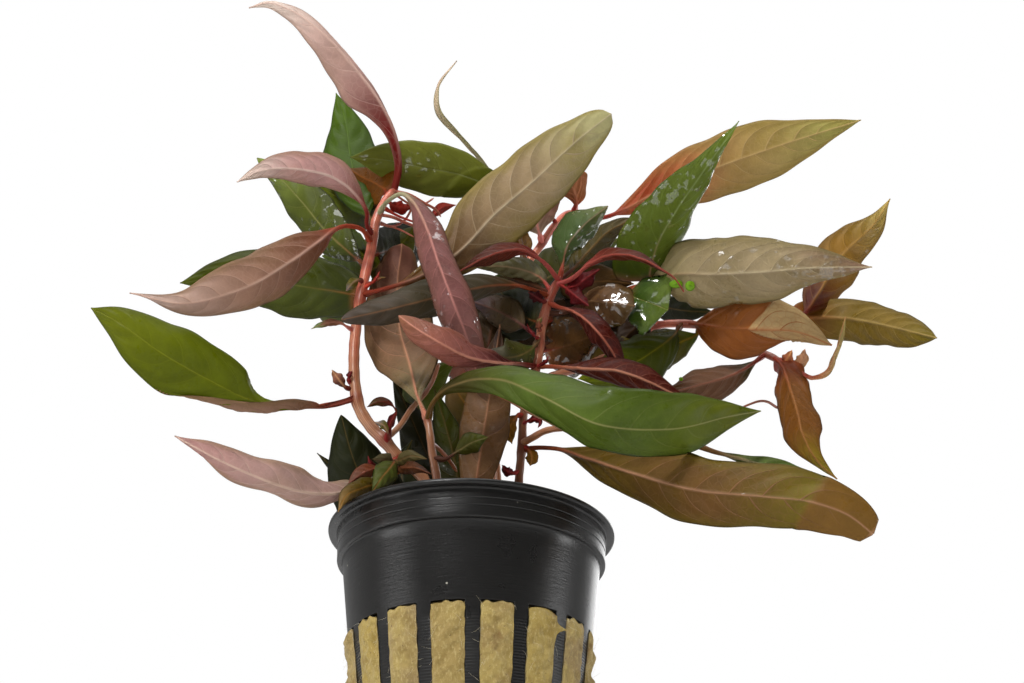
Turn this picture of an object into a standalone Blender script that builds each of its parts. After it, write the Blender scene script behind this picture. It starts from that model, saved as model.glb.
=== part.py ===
"""A potted red-stemmed aquarium plant: a black net pot, its mineral wool plug, stems and leaves.

Metres, +Z up. The origin is the centre of the pot's underside, and -Y is the front.
The pot and the plug are worked out from real sizes. Each stem and leaf follows a route that
was picked by hand on a front view: across, down, and how far behind the pot's axis it lies.
"""

import math

import bpy
import numpy as np

MM = 0.001

# The pot, in millimetres
POT_HEIGHT = 50.0
RIM_RADIUS = 27.5
RIM_THICKNESS = 1.1
COLLAR_RADIUS = 25.6
COLLAR_BOTTOM = 43.2
WALL_TOP_RADIUS = 24.6
SLOT_TOP = 28.4
SLOT_TOP_RADIUS = 23.0
SLOT_BOTTOM = 5.0
BASE_RADIUS = 19.7
POT_WALL = 1.2
POT_FLOOR = 1.5
RIM_LEAN = 0.019
FOOT_CHAMFER = 0.8
COLLAR_STEP = 0.4
EDGE_CHAMFER = 0.3
COLLAR_FLARE = 0.3
SLOT_COUNT = 16
BAR_ANGLE = 7.0
FIRST_BAR = -88.0
SEGMENTS_PER_SLOT = 3

# The mineral wool plug, in millimetres
GAP = 0.32
WOOL_TOP = 42.0
PAD_HALF_ANGLE = 6.6
PAD_STEP_ANGLE = 0.35
PAD_BULGE = 0.5
PAD_WAVE = 0.25
PAD_STEP_HEIGHT = 0.3
PLUG_CHAMFER = 1.0
SOCKET_DEPTH = 7.0

# The front view: a camera below the rim that looks up at the plant
VIEW_PLACE = np.array((7.78, -371.0, -99.0))
VIEW_PITCH = math.radians(27.2)
VIEW_FOCAL = 2068.0
VIEW_CENTRE = (512.0, 341.5)

# Leaves and stems, in millimetres
LEAF_THICKNESS = 0.8
PETIOLE_HALF_WIDTH = 0.6
LEAF_STATIONS = 7
STEM_SIDES = 8
STEM_STEP = 5.5
STEM_ROOM = 0.15
LINE_STEPS = 160

# Colours, as linear red, green and blue
GREEN = (0.08, 0.14, 0.03)
DARK_GREEN = (0.03, 0.06, 0.02)
OLIVE = (0.2, 0.17, 0.06)
KHAKI = (0.35, 0.28, 0.16)
RUST = (0.4, 0.15, 0.07)
PINK = (0.42, 0.24, 0.22)
MAUVE = (0.22, 0.12, 0.1)
CRIMSON = (0.15, 0.03, 0.03)
STEM_PINK = (0.42, 0.16, 0.11)

# Each pick is (across, down, depth): pixels of the front view, then millimetres behind the axis.
# root is where a foot stands in the plug, in millimetres, and on is the stem that carries a piece.
STEMS = {
    "stem_left": dict(
        root=(-11.0, -2.0),
        width=(2.3, 2.2, 2.4, 2.4, 2.2, 2.1, 1.9, 1.6),
        route=((420, 474, -2), (399, 458, -2), (384, 440, -3), (372, 428, -3), (359, 407, -3),
               (355, 385, -3), (354, 355, -3), (357, 320, -2), (364, 280, -2), (371, 250, -1),
               (378, 215, -1), (387, 198, -1), (396, 189, -1)),
    ),
    "stem_middle": dict(
        root=(9.0, 3.0),
        width=(2.0, 2.0, 1.7, 1.7, 1.8, 1.5),
        route=((519, 480, 3), (522, 445, 2), (524, 412, 1), (533, 380, 0), (539, 352, 0),
               (542, 325, 0), (547, 306, -1), (554, 289, -1), (560, 279, -1)),
    ),
    "stem_front": dict(
        root=(-6.0, -11.0),
        width=(1.9, 1.8, 1.6, 1.3),
        route=((437, 480, -12), (432, 452, -13), (429, 428, -13), (426, 416, -12)),
    ),
    "stem_back": dict(
        root=(3.0, 13.0),
        width=(1.8, 1.8, 1.6, 1.6, 1.5),
        route=((497, 478, 14), (492, 430, 16), (494, 370, 17), (504, 310, 17), (523, 270, 16),
               (539, 248, 15), (557, 223, 15), (568, 214, 16), (584, 217, 17)),
    ),
    "stem_left_branch": dict(
        on="stem_left",
        width=(1.2, 1.1, 0.8),
        route=((384, 441, -3), (397, 429, -1), (412, 408, 3), (426, 392, 6), (433, 380, 8), (439, 363, 9)),
    ),
    "stem_low_branch": dict(
        on="stem_middle",
        width=(1.5, 1.2, 1.1, 1.0),
        route=((524, 443, 2), (532, 438, -1), (545, 431, -4), (565, 428, -7), (610, 432, -11),
               (660, 440, -13), (700, 446, -14)),
    ),
    "stem_right": dict(
        on="stem_middle",
        width=(1.7, 1.6, 1.6, 1.5, 1.3),
        route=((531, 387, 0), (550, 377, 4), (585, 366, 8), (622, 348, 9), (655, 326, 9), (688, 324, 8),
               (722, 331, 8), (752, 338, 8), (778, 334, 8), (800, 320, 8)),
    ),
    "stem_right_upper": dict(
        on="stem_right",
        width=(1.4, 1.2, 1.1),
        route=((655, 326, 9), (655, 316, 7), (653, 300, 4), (649, 282, 1)),
    ),
    "stem_right_low": dict(
        on="stem_right",
        width=(1.4, 1.3, 1.2),
        route=((752, 338, 8), (762, 352, 7), (774, 358, 6), (790, 368, 5)),
    ),
}

# left and right are how far each half of a blade bends back from facing the front, in degrees,
# at even steps from base to tip. wide is the full width in millimetres.
LEAVES = {
    "leaf_crown": dict(
        on="stem_left", wide=10.5, left=(25, 14, 35), right=(70, 78, 70), colour=RUST, peak=0.42, stalk=0.12,
        route=((396, 190), (404, 150, -5), (390, 115, -9), (355, 75, -14), (314, 32, -19), (288, 11, -20),
               (252, 7, -19)),
    ),
    "leaf_upper_left": dict(
        on="stem_left", wide=9, left=(55, 48, 40), right=(30, 20, 30), colour=PINK, stalk=0.2,
        route=((375, 237), (367, 225, -4), (367, 213, -7), (356, 195, -10), (334, 178, -13), (304, 170, -15),
               (261, 171, -15), (237, 182, -13)),
    ),
    "leaf_big_left": dict(
        on="stem_left", wide=11.5, left=(25, 38, 48), right=(35, 14, 15), colour=PINK, stalk=0.22, peak=0.42,
        route=((374, 243), (361, 229, -6), (348, 226, -9), (334, 230, -13), (318, 242, -17), (290, 262, -20),
               (242, 289, -24), (190, 303, -24), (130, 293, -20)),
    ),
    "leaf_green_under_left": dict(
        on="stem_left", wide=13, left=(20, 15, 20), right=(20, 15, 20), colour=GREEN, stalk=0.06,
        route=((362, 297), (345, 293, 2), (300, 286, 7), (240, 275, 9), (180, 283, 8)),
    ),
    "leaf_green_left": dict(
        on="stem_left", wide=11, left=(30, 40, 30), right=(20, 10, 20), colour=GREEN, stalk=0.06,
        route=((368, 268), (350, 253, 3), (325, 230, 7), (303, 203, 10), (280, 178, 12), (257, 158, 12)),
    ),
    "leaf_green_upright": dict(
        on="stem_left", wide=13, left=(25, 12, 20), right=(25, 12, 20), colour=GREEN, peak=0.55, stalk=0.12,
        route=((376, 226), (366, 212, 6), (357, 187, 11), (350, 155, 15), (345, 120, 17), (336, 93, 17)),
    ),
    "leaf_green_broad": dict(
        on="stem_back", wide=12, left=(20, 15, 15), right=(25, 15, 15), colour=GREEN, peak=0.58, stalk=0.14,
        route=((524, 268), (520, 238, 14), (508, 208, 12), (487, 186, 10), (461, 175, 8), (425, 168, 6),
               (385, 160, 4), (350, 157, 2)),
    ),
    "leaf_thin_curled": dict(
        on="stem_back", wide=5, left=(78, 80, 76), right=(-70, -74, -66), colour=OLIVE, stalk=0.25,
        route=((516, 280), (508, 235, 20), (498, 190, 22), (475, 154, 22), (457, 135, 21), (438, 112, 19),
               (438, 86, 18), (457, 61, 17)),
    ),
    "leaf_centre": dict(
        on="stem_left", wide=15, left=(30, 12, 15), right=(30, 12, 15), colour=KHAKI, peak=0.5, stalk=0.3,
        route=((367, 296), (381, 290, -6), (398, 285, -8), (419, 277, -9), (440, 266, -9), (459, 252, -9),
               (495, 214, -8), (530, 184, -6), (579, 139, -3), (611, 114, 0)),
    ),
    "leaf_hanging_rose": dict(
        on="stem_left", wide=8.5, left=(45, 30, 40), right=(40, 28, 40), colour=MAUVE, stalk=0.17,
        route=((378, 214), (387, 202, -6), (400, 194, -10), (413, 202, -14), (425, 224, -17),
               (439, 264, -20), (454, 304, -20), (467, 338, -17), (473, 374, -12)),
    ),
    "leaf_red_front": dict(
        on="stem_middle", wide=9, left=(60, 70, 60), right=(50, 40, 50), colour=RUST, stalk=0.1,
        route=((536, 366), (522, 364, -5), (500, 362, -14), (463, 358, -23), (439, 342, -27), (418, 326, -27),
               (399, 317, -25)),
    ),
    "leaf_long_slate": dict(
        on="stem_middle", wide=10, left=(40, 45, 40), right=(45, 40, 40), colour=MAUVE, stalk=0.12,
        route=((551, 297), (536, 291, -3), (520, 286, -5), (500, 285, -7), (467, 290, -11), (430, 299, -14),
               (390, 309, -15), (341, 320, -13)),
    ),
    "leaf_front_green": dict(
        on="stem_front", wide=15, left=(50, 40, 20, 0, 30), right=(15, 15, 55, 40, 40), colour=GREEN,
        peak=0.6, stalk=0.04, fullness=(0.65, 1.0),
        route=((428, 420), (432, 404, -16), (443, 391, -19), (463, 382, -22), (494, 379, -26),
               (545, 398, -32), (598, 424, -35), (670, 429, -32), (731, 416, -26), (761, 411, -22)),
    ),
    "leaf_brown_upright": dict(
        root=(2.5, -9.0), wide=10, left=(20, 15, 20), right=(20, 15, 20), colour=MAUVE, peak=0.5, stalk=0.08,
        route=((475, 490, -9), (477, 476, -9), (481, 449, -9), (488, 405, -6), (495, 360, -3),
               (500, 325, 1)),
    ),
    "leaf_tall_mauve": dict(
        on="stem_front", wide=15.5, left=(20, 12, 20), right=(20, 12, 20), colour=MAUVE, stalk=0.03,
        route=((426, 418), (417, 395, -5), (409, 362, 1), (400, 330, 4), (397, 290, 5), (402, 244, 4)),
    ),
    "leaf_far_left_twisted": dict(
        on="stem_left", wide=12.5, left=(85, 75, 40, 10, 10), right=(-72, -62, -42, -15, 10), colour=GREEN,
        peak=0.66, stalk=0.14,
        route=((354, 398), (336, 404, -6), (310, 407, -12), (285, 407, -18), (250, 400, -24),
               (213, 382, -28), (160, 352, -32), (118, 322, -33), (91, 308, -32)),
    ),
    "leaf_low_left": dict(
        on="stem_left", wide=10, left=(50, 60, 50), right=(60, 30, 15), colour=PINK, stalk=0.2,
        route=((405, 463), (382, 474, -6), (356, 488, -12), (330, 494, -19), (290, 489, -26),
               (264, 480, -29), (223, 462, -31), (175, 436, -30)),
    ),
    "leaf_low_dark": dict(
        root=(-18.5, 6.0), wide=11, left=(30, 15, 30), right=(30, 15, 30), colour=DARK_GREEN, stalk=0.08,
        route=((370, 498, 5), (360, 476, 4), (351, 452, 3), (341, 415, 2)),
    ),
    "leaf_dark_behind_left": dict(
        root=(-5.0, 10.0), wide=11, left=(30, 20, 30), right=(30, 20, 30), colour=DARK_GREEN, stalk=0.1,
        route=((438, 478, 12), (425, 450, 14), (410, 415, 16), (392, 374, 17)),
    ),
    "leaf_olive_behind_front": dict(
        root=(-1.5, 3.0), wide=9, left=(30, 20, 30), right=(30, 20, 30), colour=OLIVE, stalk=0.1,
        route=((458, 480, 2), (452, 450, 2), (444, 420, 2), (434, 388, 2)),
    ),
    "leaf_low_right": dict(
        on="stem_middle", wide=13.5, left=(40, 20, 20, 20), right=(45, 32, 25, 25), colour=OLIVE, stalk=0.08,
        fullness=(0.9, 0.62), peak=0.55,
        route=((521, 451), (535, 448, 1), (549, 448, -1), (586, 458, -9), (632, 473, -18), (701, 491, -27),
               (770, 494, -32), (828, 494, -34), (860, 507, -34), (873, 538, -33)),
    ),
    "leaf_green_sliver": dict(
        on="stem_low_branch", wide=8, left=(40, 30, 40), right=(60, 60, 50), colour=GREEN, stalk=0.08,
        route=((694, 445), (712, 451, -14), (770, 467, -18), (838, 486, -20), (877, 506, -19)),
    ),
    "leaf_upper_right": dict(
        on="stem_back", wide=15, left=(30, 15, 20), right=(30, 15, 20), colour=RUST, peak=0.52, stalk=0.1,
        route=((579, 215), (600, 218, 19), (626, 209, 21), (652, 195, 22), (678, 182, 23), (726, 164, 25),
               (769, 149, 26), (861, 120, 26)),
    ),
    "leaf_green_upright_right": dict(
        on="stem_right_upper", wide=16, left=(0, 8, 30), right=(50, 58, 50), colour=GREEN, peak=0.38,
        stalk=0.06, fullness=(0.6, 1.05),
        route=((650, 288), (650, 272, -5), (658, 243, -12), (674, 214, -18), (700, 176, -25),
               (739, 121, -30)),
    ),
    "leaf_khaki_right": dict(
        on="stem_right_upper", wide=15, left=(30, 8, 20), right=(45, 38, 40), colour=KHAKI, stalk=0.06,
        route=((651, 292), (658, 280, -3), (673, 275, -7), (715, 274, -14), (761, 272, -19), (807, 268, -22),
               (872, 267, -21)),
    ),
    "leaf_amber_far_right": dict(
        on="stem_right", wide=11.5, left=(30, 20, 30), right=(35, 25, 35), colour=RUST, stalk=0.06,
        route=((798, 321), (806, 312, 10), (818, 294, 13), (846, 251, 18), (875, 223, 20), (890, 199, 20)),
    ),
    "leaf_far_right": dict(
        on="stem_right", wide=11, left=(40, 35, 40), right=(30, 15, 30), colour=OLIVE, stalk=0.1,
        route=((796, 322), (812, 317, 5), (840, 318, 1), (864, 321, -2), (887, 326, -5), (937, 338, -9)),
    ),
    "leaf_rust_folded": dict(
        on="stem_right", wide=14, left=(30, 12, 30), right=(20, 8, 30), colour=RUST, stalk=0.04,
        route=((690, 324), (702, 325, 2), (730, 328, -4), (761, 329, -8), (795, 331, -9), (832, 345, -8)),
    ),
    "leaf_brown_low_right": dict(
        on="stem_right_low", wide=10, left=(45, 35, 40), right=(45, 50, 50), colour=MAUVE, stalk=0.08,
        route=((766, 353), (752, 364, 5), (730, 376, 2), (696, 386, 0), (662, 395, -2)),
    ),
    "leaf_crimson": dict(
        on="stem_middle", wide=9, left=(40, 30, 40), right=(50, 45, 50), colour=CRIMSON, stalk=0.16,
        route=((549, 303), (558, 307, -4), (572, 311, -8), (587, 321, -11), (601, 336, -12), (613, 353, -10),
               (624, 385, -6)),
    ),
    "leaf_crimson_low": dict(
        on="stem_middle", wide=8, left=(50, 45, 50), right=(50, 45, 50), colour=CRIMSON, stalk=0.18,
        route=((536, 366), (560, 367, -6), (590, 369, -10), (618, 371, -13), (647, 381, -14),
               (672, 393, -13), (698, 405, -12)),
    ),
    "leaf_hanging_right": dict(
        on="stem_right_low", wide=11, left=(45, 35, 40), right=(50, 38, 45), colour=RUST, stalk=0.06,
        route=((774, 358), (779, 370, 0), (787, 390, -5), (797, 411, -9), (807, 434, -11), (821, 458, -11),
               (837, 479, -9)),
    ),
    "leaf_edge_on_right": dict(
        on="stem_right_low", wide=4.5, left=(74, 76, 70), right=(-62, -66, -60), colour=OLIVE, stalk=0.1,
        route=((789, 367), (800, 372, 2), (815, 377, -2), (828, 370, -5), (836, 352, -8), (846, 317, -9)),
    ),
    "leaf_red_arch_left": dict(
        on="stem_middle", wide=6.5, left=(60, 50, 50), right=(60, 60, 50), colour=CRIMSON, stalk=0.2,
        route=((558, 281), (550, 269, -4), (538, 258, -8), (522, 250, -12), (505, 251, -15), (482, 259, -17),
               (460, 271, -16)),
    ),
    "leaf_red_arch_right": dict(
        on="stem_middle", wide=5.5, left=(60, 55, 60), right=(60, 60, 60), colour=CRIMSON, stalk=0.2,
        route=((556, 285), (571, 279, -6), (591, 263, -14), (614, 255, -21), (640, 257, -26), (664, 268, -28),
               (684, 291, -27)),
    ),
    "leaf_dark_glossy": dict(
        on="stem_middle", wide=13, left=(15, 10, 20), right=(60, 60, 50), colour=DARK_GREEN, stalk=0.1,
        route=((560, 279), (563, 264, -3), (567, 247, -5), (583, 226, -7), (608, 206, -8)),
    ),
    "leaf_olive_grey": dict(
        on="stem_middle", wide=8, left=(45, 45, 45), right=(45, 40, 45), colour=OLIVE, stalk=0.14,
        route=((559, 281), (574, 268, 2), (590, 250, 4), (608, 232, 5), (638, 217, 5)),
    ),
    "leaf_mauve_behind": dict(
        on="stem_back", wide=10, left=(30, 20, 30), right=(30, 20, 30), colour=MAUVE, stalk=0.12,
        route=((543, 243), (538, 228, 10), (533, 205, 7), (528, 175, 5)),
    ),
    "leaf_orange_behind": dict(
        on="stem_back", wide=9, left=(30, 25, 30), right=(30, 25, 30), colour=RUST, stalk=0.12,
        route=((574, 214), (576, 200, 12), (568, 180, 8), (556, 160, 5)),
    ),
    "leaf_brown_glossy": dict(
        on="stem_middle", wide=10, left=(30, 20, 30), right=(35, 25, 30), colour=MAUVE, stalk=0.12, peak=0.48,
        route=((545, 312), (560, 315, 0), (578, 312, -2), (600, 304, -4), (620, 296, -5), (641, 288, -6)),
    ),
    "leaf_green_mid_right": dict(
        on="stem_right_upper", wide=12, left=(20, 10, 20), right=(20, 10, 20), colour=GREEN, stalk=0.06,
        route=((651, 286), (643, 280, -1), (638, 290, -2), (643, 305, -2), (649, 322, -2), (650, 343, -2)),
    ),
    "leaf_olive_mid_right": dict(
        on="stem_right", wide=12, left=(30, 20, 30), right=(40, 30, 40), colour=OLIVE, stalk=0.05,
        route=((682, 326), (672, 337, 4), (655, 350, 1), (636, 362, 0), (600, 374, -1), (578, 379, -2)),
    ),
    "leaf_dark_brown_mid": dict(
        on="stem_middle", wide=10, left=(30, 20, 30), right=(30, 20, 30), colour=MAUVE, stalk=0.08,
        route=((540, 344), (556, 340, 5), (575, 334, 10), (600, 326, 14)),
    ),
    "leaf_grey_green_mid": dict(
        on="stem_middle", wide=6.5, left=(40, 45, 50), right=(40, 40, 50), colour=OLIVE, stalk=0.12,
        route=((552, 293), (538, 276, 2), (515, 268, 4), (495, 266, 5), (474, 267, 5)),
    ),
    "leaf_teal_behind": dict(
        on="stem_middle", wide=12, left=(30, 15, 30), right=(30, 15, 30), colour=DARK_GREEN, stalk=0.08,
        route=((543, 322), (531, 320, 6), (518, 312, 10), (504, 296, 12), (490, 280, 12)),
    ),
    "leaf_back_left": dict(
        on="stem_left", wide=12, left=(25, 15, 25), right=(25, 15, 25), colour=OLIVE, stalk=0.1,
        route=((361, 300), (350, 300, 8), (335, 299, 17), (318, 295, 27), (300, 290, 38)),
    ),
    "leaf_back_right": dict(
        on="stem_back", wide=12, left=(25, 15, 25), right=(25, 15, 25), colour=GREEN, stalk=0.1,
        route=((509, 300), (530, 288, 25), (560, 270, 34), (588, 254, 42), (622, 238, 48)),
    ),
    "leaf_back_low": dict(
        on="stem_back", wide=12, left=(25, 15, 25), right=(25, 15, 25), colour=DARK_GREEN, stalk=0.1,
        route=((494, 380), (484, 372, 26), (466, 358, 36), (446, 342, 44), (425, 330, 50)),
    ),
    "leaf_green_by_stem": dict(
        on="stem_left", wide=10, left=(30, 20, 30), right=(30, 20, 30), colour=GREEN, stalk=0.08,
        route=((371, 256), (384, 252, 6), (402, 246, 15), (425, 238, 21), (450, 232, 24)),
    ),
}

VIEW_RIGHT = np.array((1.0, 0.0, 0.0))
VIEW_UP = np.array((0.0, -math.sin(VIEW_PITCH), math.cos(VIEW_PITCH)))
VIEW_FORWARD = np.array((0.0, math.cos(VIEW_PITCH), math.sin(VIEW_PITCH)))

stem_lines = {}


def place(across, down, depth):
    """The point, in millimetres, seen at a pick of the front view and lying depth behind the axis."""
    ray = (across - VIEW_CENTRE[0]) * VIEW_RIGHT + (VIEW_CENTRE[1] - down) * VIEW_UP
    ray = ray + VIEW_FOCAL * VIEW_FORWARD
    return VIEW_PLACE + ray * (depth - VIEW_PLACE[1]) / ray[1]


def seen_at(points):
    """The picks of the front view at which points, in millimetres, are seen."""
    offset = np.atleast_2d(points) - VIEW_PLACE
    scale = VIEW_FOCAL / (offset @ VIEW_FORWARD)
    across = VIEW_CENTRE[0] + offset @ VIEW_RIGHT * scale
    down = VIEW_CENTRE[1] - offset @ VIEW_UP * scale
    return np.stack((across, down), axis=1)


def smooth_line(points, count=LINE_STEPS):
    """A curve through the points, as cubic pieces, sampled at even steps along its length."""
    points = np.asarray(points, float)
    knots = np.concatenate(([0], np.cumsum(np.linalg.norm(np.diff(points, axis=0), axis=1))))
    slopes = np.gradient(points, knots, axis=0)
    where = np.linspace(0, knots[-1], count)
    piece = np.clip(np.searchsorted(knots, where, side="right") - 1, 0, len(knots) - 2)
    width = (knots[piece + 1] - knots[piece])[:, None]
    u = ((where - knots[piece]) / width[:, 0])[:, None]
    curve = (
        (2 * u**3 - 3 * u**2 + 1) * points[piece]
        + (u**3 - 2 * u**2 + u) * width * slopes[piece]
        + (3 * u**2 - 2 * u**3) * points[piece + 1]
        + (u**3 - u**2) * width * slopes[piece + 1]
    )
    lengths = np.concatenate(([0], np.cumsum(np.linalg.norm(np.diff(curve, axis=0), axis=1))))
    even = np.linspace(0, lengths[-1], count)
    return np.stack([np.interp(even, lengths, curve[:, k]) for k in range(3)], axis=1)


def spread(values, t):
    """Values given at even steps from 0 to 1, read smoothly at t."""
    steps = np.linspace(0, 1, len(values))
    return np.interp(t, steps, values)


def unit(vectors):
    return vectors / np.linalg.norm(vectors, axis=-1, keepdims=True)


def material(name, colour, roughness):
    """A plain Principled finish with its own name."""
    made = bpy.data.materials.new(name)
    made.use_nodes = True
    shader = made.node_tree.nodes["Principled BSDF"]
    shader.inputs["Base Color"].default_value = (*colour, 1)
    shader.inputs["Roughness"].default_value = roughness
    shader.inputs["Metallic"].default_value = 0
    return made


def mesh_object(name, points, faces, finish):
    """An object of the points, in millimetres, and faces, shaded smooth with sharp corners kept."""
    mesh = bpy.data.meshes.new(name)
    mesh.from_pydata((np.asarray(points) * MM).tolist(), [], faces)
    mesh.materials.append(finish)
    mesh.shade_smooth()
    mesh.set_sharp_from_angle(angle=math.radians(40))
    made = bpy.data.objects.new(name, mesh)
    bpy.context.scene.collection.objects.link(made)
    return made


def ring_faces(rings, sides, left_out=()):
    """Quads between rings that follow each other, without the (ring, side) pairs left out."""
    return [
        (r * sides + s, r * sides + (s + 1) % sides, (r + 1) * sides + (s + 1) % sides, (r + 1) * sides + s)
        for r in range(rings - 1)
        for s in range(sides)
        if (r, s) not in left_out
    ]


def pole_faces(pole, first, sides, outward):
    """Triangles from a pole to the ring that starts at first."""
    found = []
    for s in range(sides):
        edge = (first + s, first + (s + 1) % sides)
        found.append((pole, *edge) if outward else (pole, *edge[::-1]))
    return found


def pot_profile():
    """Radius and height of the pot's rings, from the underside out, up, over the rim and down inside."""
    collar_top = POT_HEIGHT - RIM_THICKNESS
    outside = [
        (BASE_RADIUS - FOOT_CHAMFER, 0.0),
        (BASE_RADIUS, FOOT_CHAMFER),
        (pot_radius(SLOT_BOTTOM), SLOT_BOTTOM),
        (SLOT_TOP_RADIUS, SLOT_TOP),
        (WALL_TOP_RADIUS, COLLAR_BOTTOM),
        (COLLAR_RADIUS, COLLAR_BOTTOM + COLLAR_STEP),
        (COLLAR_RADIUS + COLLAR_FLARE, collar_top - COLLAR_STEP),
        (RIM_RADIUS - EDGE_CHAMFER, collar_top),
        (RIM_RADIUS, collar_top + EDGE_CHAMFER),
        (RIM_RADIUS, POT_HEIGHT - EDGE_CHAMFER),
        (RIM_RADIUS - EDGE_CHAMFER, POT_HEIGHT),
    ]
    inside = [
        (COLLAR_RADIUS - POT_WALL + EDGE_CHAMFER, POT_HEIGHT),
        (COLLAR_RADIUS - POT_WALL, POT_HEIGHT - EDGE_CHAMFER),
        (WALL_TOP_RADIUS - POT_WALL, COLLAR_BOTTOM - COLLAR_STEP),
        (SLOT_TOP_RADIUS - POT_WALL, SLOT_TOP),
        (pot_radius(SLOT_BOTTOM) - POT_WALL, SLOT_BOTTOM),
        (pot_radius(POT_FLOOR) - POT_WALL, POT_FLOOR),
    ]
    return outside, inside


def leaned(x, y, height):
    """A point of the pot, whose rim is a little out of level: the left side stands higher."""
    share = max(0.0, height - SLOT_TOP) / (POT_HEIGHT - SLOT_TOP)
    return x, y, height - RIM_LEAN * x * share


def pot_radius(height):
    """Outer radius of the tapering wall at a height."""
    heights = (0.0, SLOT_TOP, COLLAR_BOTTOM)
    return float(np.interp(height, heights, (BASE_RADIUS, SLOT_TOP_RADIUS, WALL_TOP_RADIUS)))


def slot_walls(sides, outer, inner):
    """The four walls of each slot. outer and inner are the rings at its lower and upper edge."""
    found = []
    for slot in range(SLOT_COUNT):
        first = slot * SEGMENTS_PER_SLOT + 1
        last = (first + SEGMENTS_PER_SLOT - 1) % sides
        low_out, high_out = outer[0] * sides, outer[1] * sides
        high_in, low_in = inner[0] * sides, inner[1] * sides
        found.append((high_out + first, low_out + first, low_in + first, high_in + first))
        found.append((low_out + last, high_out + last, high_in + last, low_in + last))
        for s in range(first, first + SEGMENTS_PER_SLOT - 1):
            n = (s + 1) % sides
            found.append((low_out + s, low_out + n, low_in + n, low_in + s))
            found.append((high_out + n, high_out + s, high_in + s, high_in + n))
    return found


def build_pot():
    """A turned wall with sixteen upright slots, closed underneath."""
    sides = SLOT_COUNT * SEGMENTS_PER_SLOT
    outside, inside = pot_profile()
    profile = outside + inside
    pitch = 360 / SLOT_COUNT
    turns = (-BAR_ANGLE / 2, BAR_ANGLE / 2, pitch / 2)
    angles = [math.radians(FIRST_BAR + pitch * slot + turn) for slot in range(SLOT_COUNT) for turn in turns]
    points = [
        leaned(radius * math.cos(angle), radius * math.sin(angle), height)
        for radius, height in profile
        for angle in angles
    ]
    outer = (2, 3)
    inner = (len(outside) + 3, len(outside) + 4)
    open_sides = [s for s in range(sides) if s % SEGMENTS_PER_SLOT != 0]
    left_out = {(ring, s) for ring in (outer[0], inner[0]) for s in open_sides}
    faces = ring_faces(len(profile), sides, left_out)
    faces += slot_walls(sides, outer, inner)
    points += [(0, 0, 0), (0, 0, POT_FLOOR)]
    faces += pole_faces(len(points) - 2, 0, sides, outward=False)
    faces += pole_faces(len(points) - 1, (len(profile) - 1) * sides, sides, outward=True)
    mesh_object("net_pot", points, faces, material("black pot plastic", (0.02, 0.02, 0.022), 0.25))


def wool_rings():
    """For each ring of the plug: its height, and whether it fills the slots there."""
    step = PAD_STEP_HEIGHT
    low, high = SLOT_BOTTOM + GAP + step, SLOT_TOP - GAP - step
    return [
        (POT_FLOOR + GAP, False),
        (low - step, False),
        (low, True),
        ((low + high) / 2, True),
        (high, True),
        (high + step, False),
        (WOOL_TOP - PLUG_CHAMFER, False),
    ]


def wool_radius(height, in_slot, bulge):
    """Radius of the plug: short of the pot's inner wall, or out through a slot."""
    if in_slot:
        return pot_radius(height) + bulge
    return pot_radius(height) - POT_WALL - GAP


def build_wool(roots):
    """The plug: a drum with a pad that fills each slot, and a socket for each stem's foot."""
    offsets = [-PAD_HALF_ANGLE - PAD_STEP_ANGLE, -PAD_HALF_ANGLE, 0, PAD_HALF_ANGLE]
    offsets.append(PAD_HALF_ANGLE + PAD_STEP_ANGLE)
    pitch = 360 / SLOT_COUNT
    angles, in_pad = [], []
    for slot in range(SLOT_COUNT):
        for index, offset in enumerate(offsets):
            angles.append(math.radians(FIRST_BAR + pitch * (slot + 0.5) + offset))
            in_pad.append(0 < index < len(offsets) - 1)
    sides = len(angles)
    points = []
    rings = wool_rings()
    for height, fills in rings:
        for side, angle in enumerate(angles):
            wave = PAD_WAVE * math.sin(5.3 * side + height)
            radius = wool_radius(height, fills and in_pad[side], PAD_BULGE + wave)
            points.append((radius * math.cos(angle), radius * math.sin(angle), height))
    top_radius = wool_radius(WOOL_TOP, False, 0) - PLUG_CHAMFER
    points += [(top_radius * math.cos(a), top_radius * math.sin(a), WOOL_TOP) for a in angles]
    faces = ring_faces(len(rings) + 1, sides)
    points += [(0, 0, POT_FLOOR + GAP), (0, 0, WOOL_TOP)]
    faces += pole_faces(len(points) - 2, 0, sides, outward=False)
    faces += pole_faces(len(points) - 1, len(rings) * sides, sides, outward=True)
    wool = mesh_object("mineral_wool", points, faces, material("mineral wool", (0.45, 0.36, 0.2), 0.95))
    for name, (x, y, radius) in roots.items():
        cut_socket(wool, name, x, y, radius + GAP)


def cut_socket(wool, name, x, y, radius):
    """Takes a round socket for a stem's foot out of the plug."""
    sides = STEM_SIDES
    turns = [2 * math.pi * s / sides for s in range(sides)]
    heights = (WOOL_TOP - SOCKET_DEPTH - GAP, WOOL_TOP + SOCKET_DEPTH)
    points = [(x + radius * math.cos(a), y + radius * math.sin(a), z) for z in heights for a in turns]
    faces = ring_faces(2, sides) + [tuple(range(sides))[::-1], tuple(range(sides, 2 * sides))]
    cutter = mesh_object(f"socket_for_{name}", points, faces, wool.data.materials[0])
    cutter.hide_render = True
    cutter.display_type = "WIRE"
    cut = wool.modifiers.new(cutter.name, "BOOLEAN")
    cut.operation = "DIFFERENCE"
    cut.object = cutter


def frames_along(line):
    """Unit tangents, and two unit directions across, along a line."""
    tangents = unit(np.gradient(line, axis=0))
    towards = unit(line - VIEW_PLACE)
    left = unit(np.cross(tangents, towards))
    return tangents, left, np.cross(left, tangents)


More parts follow.
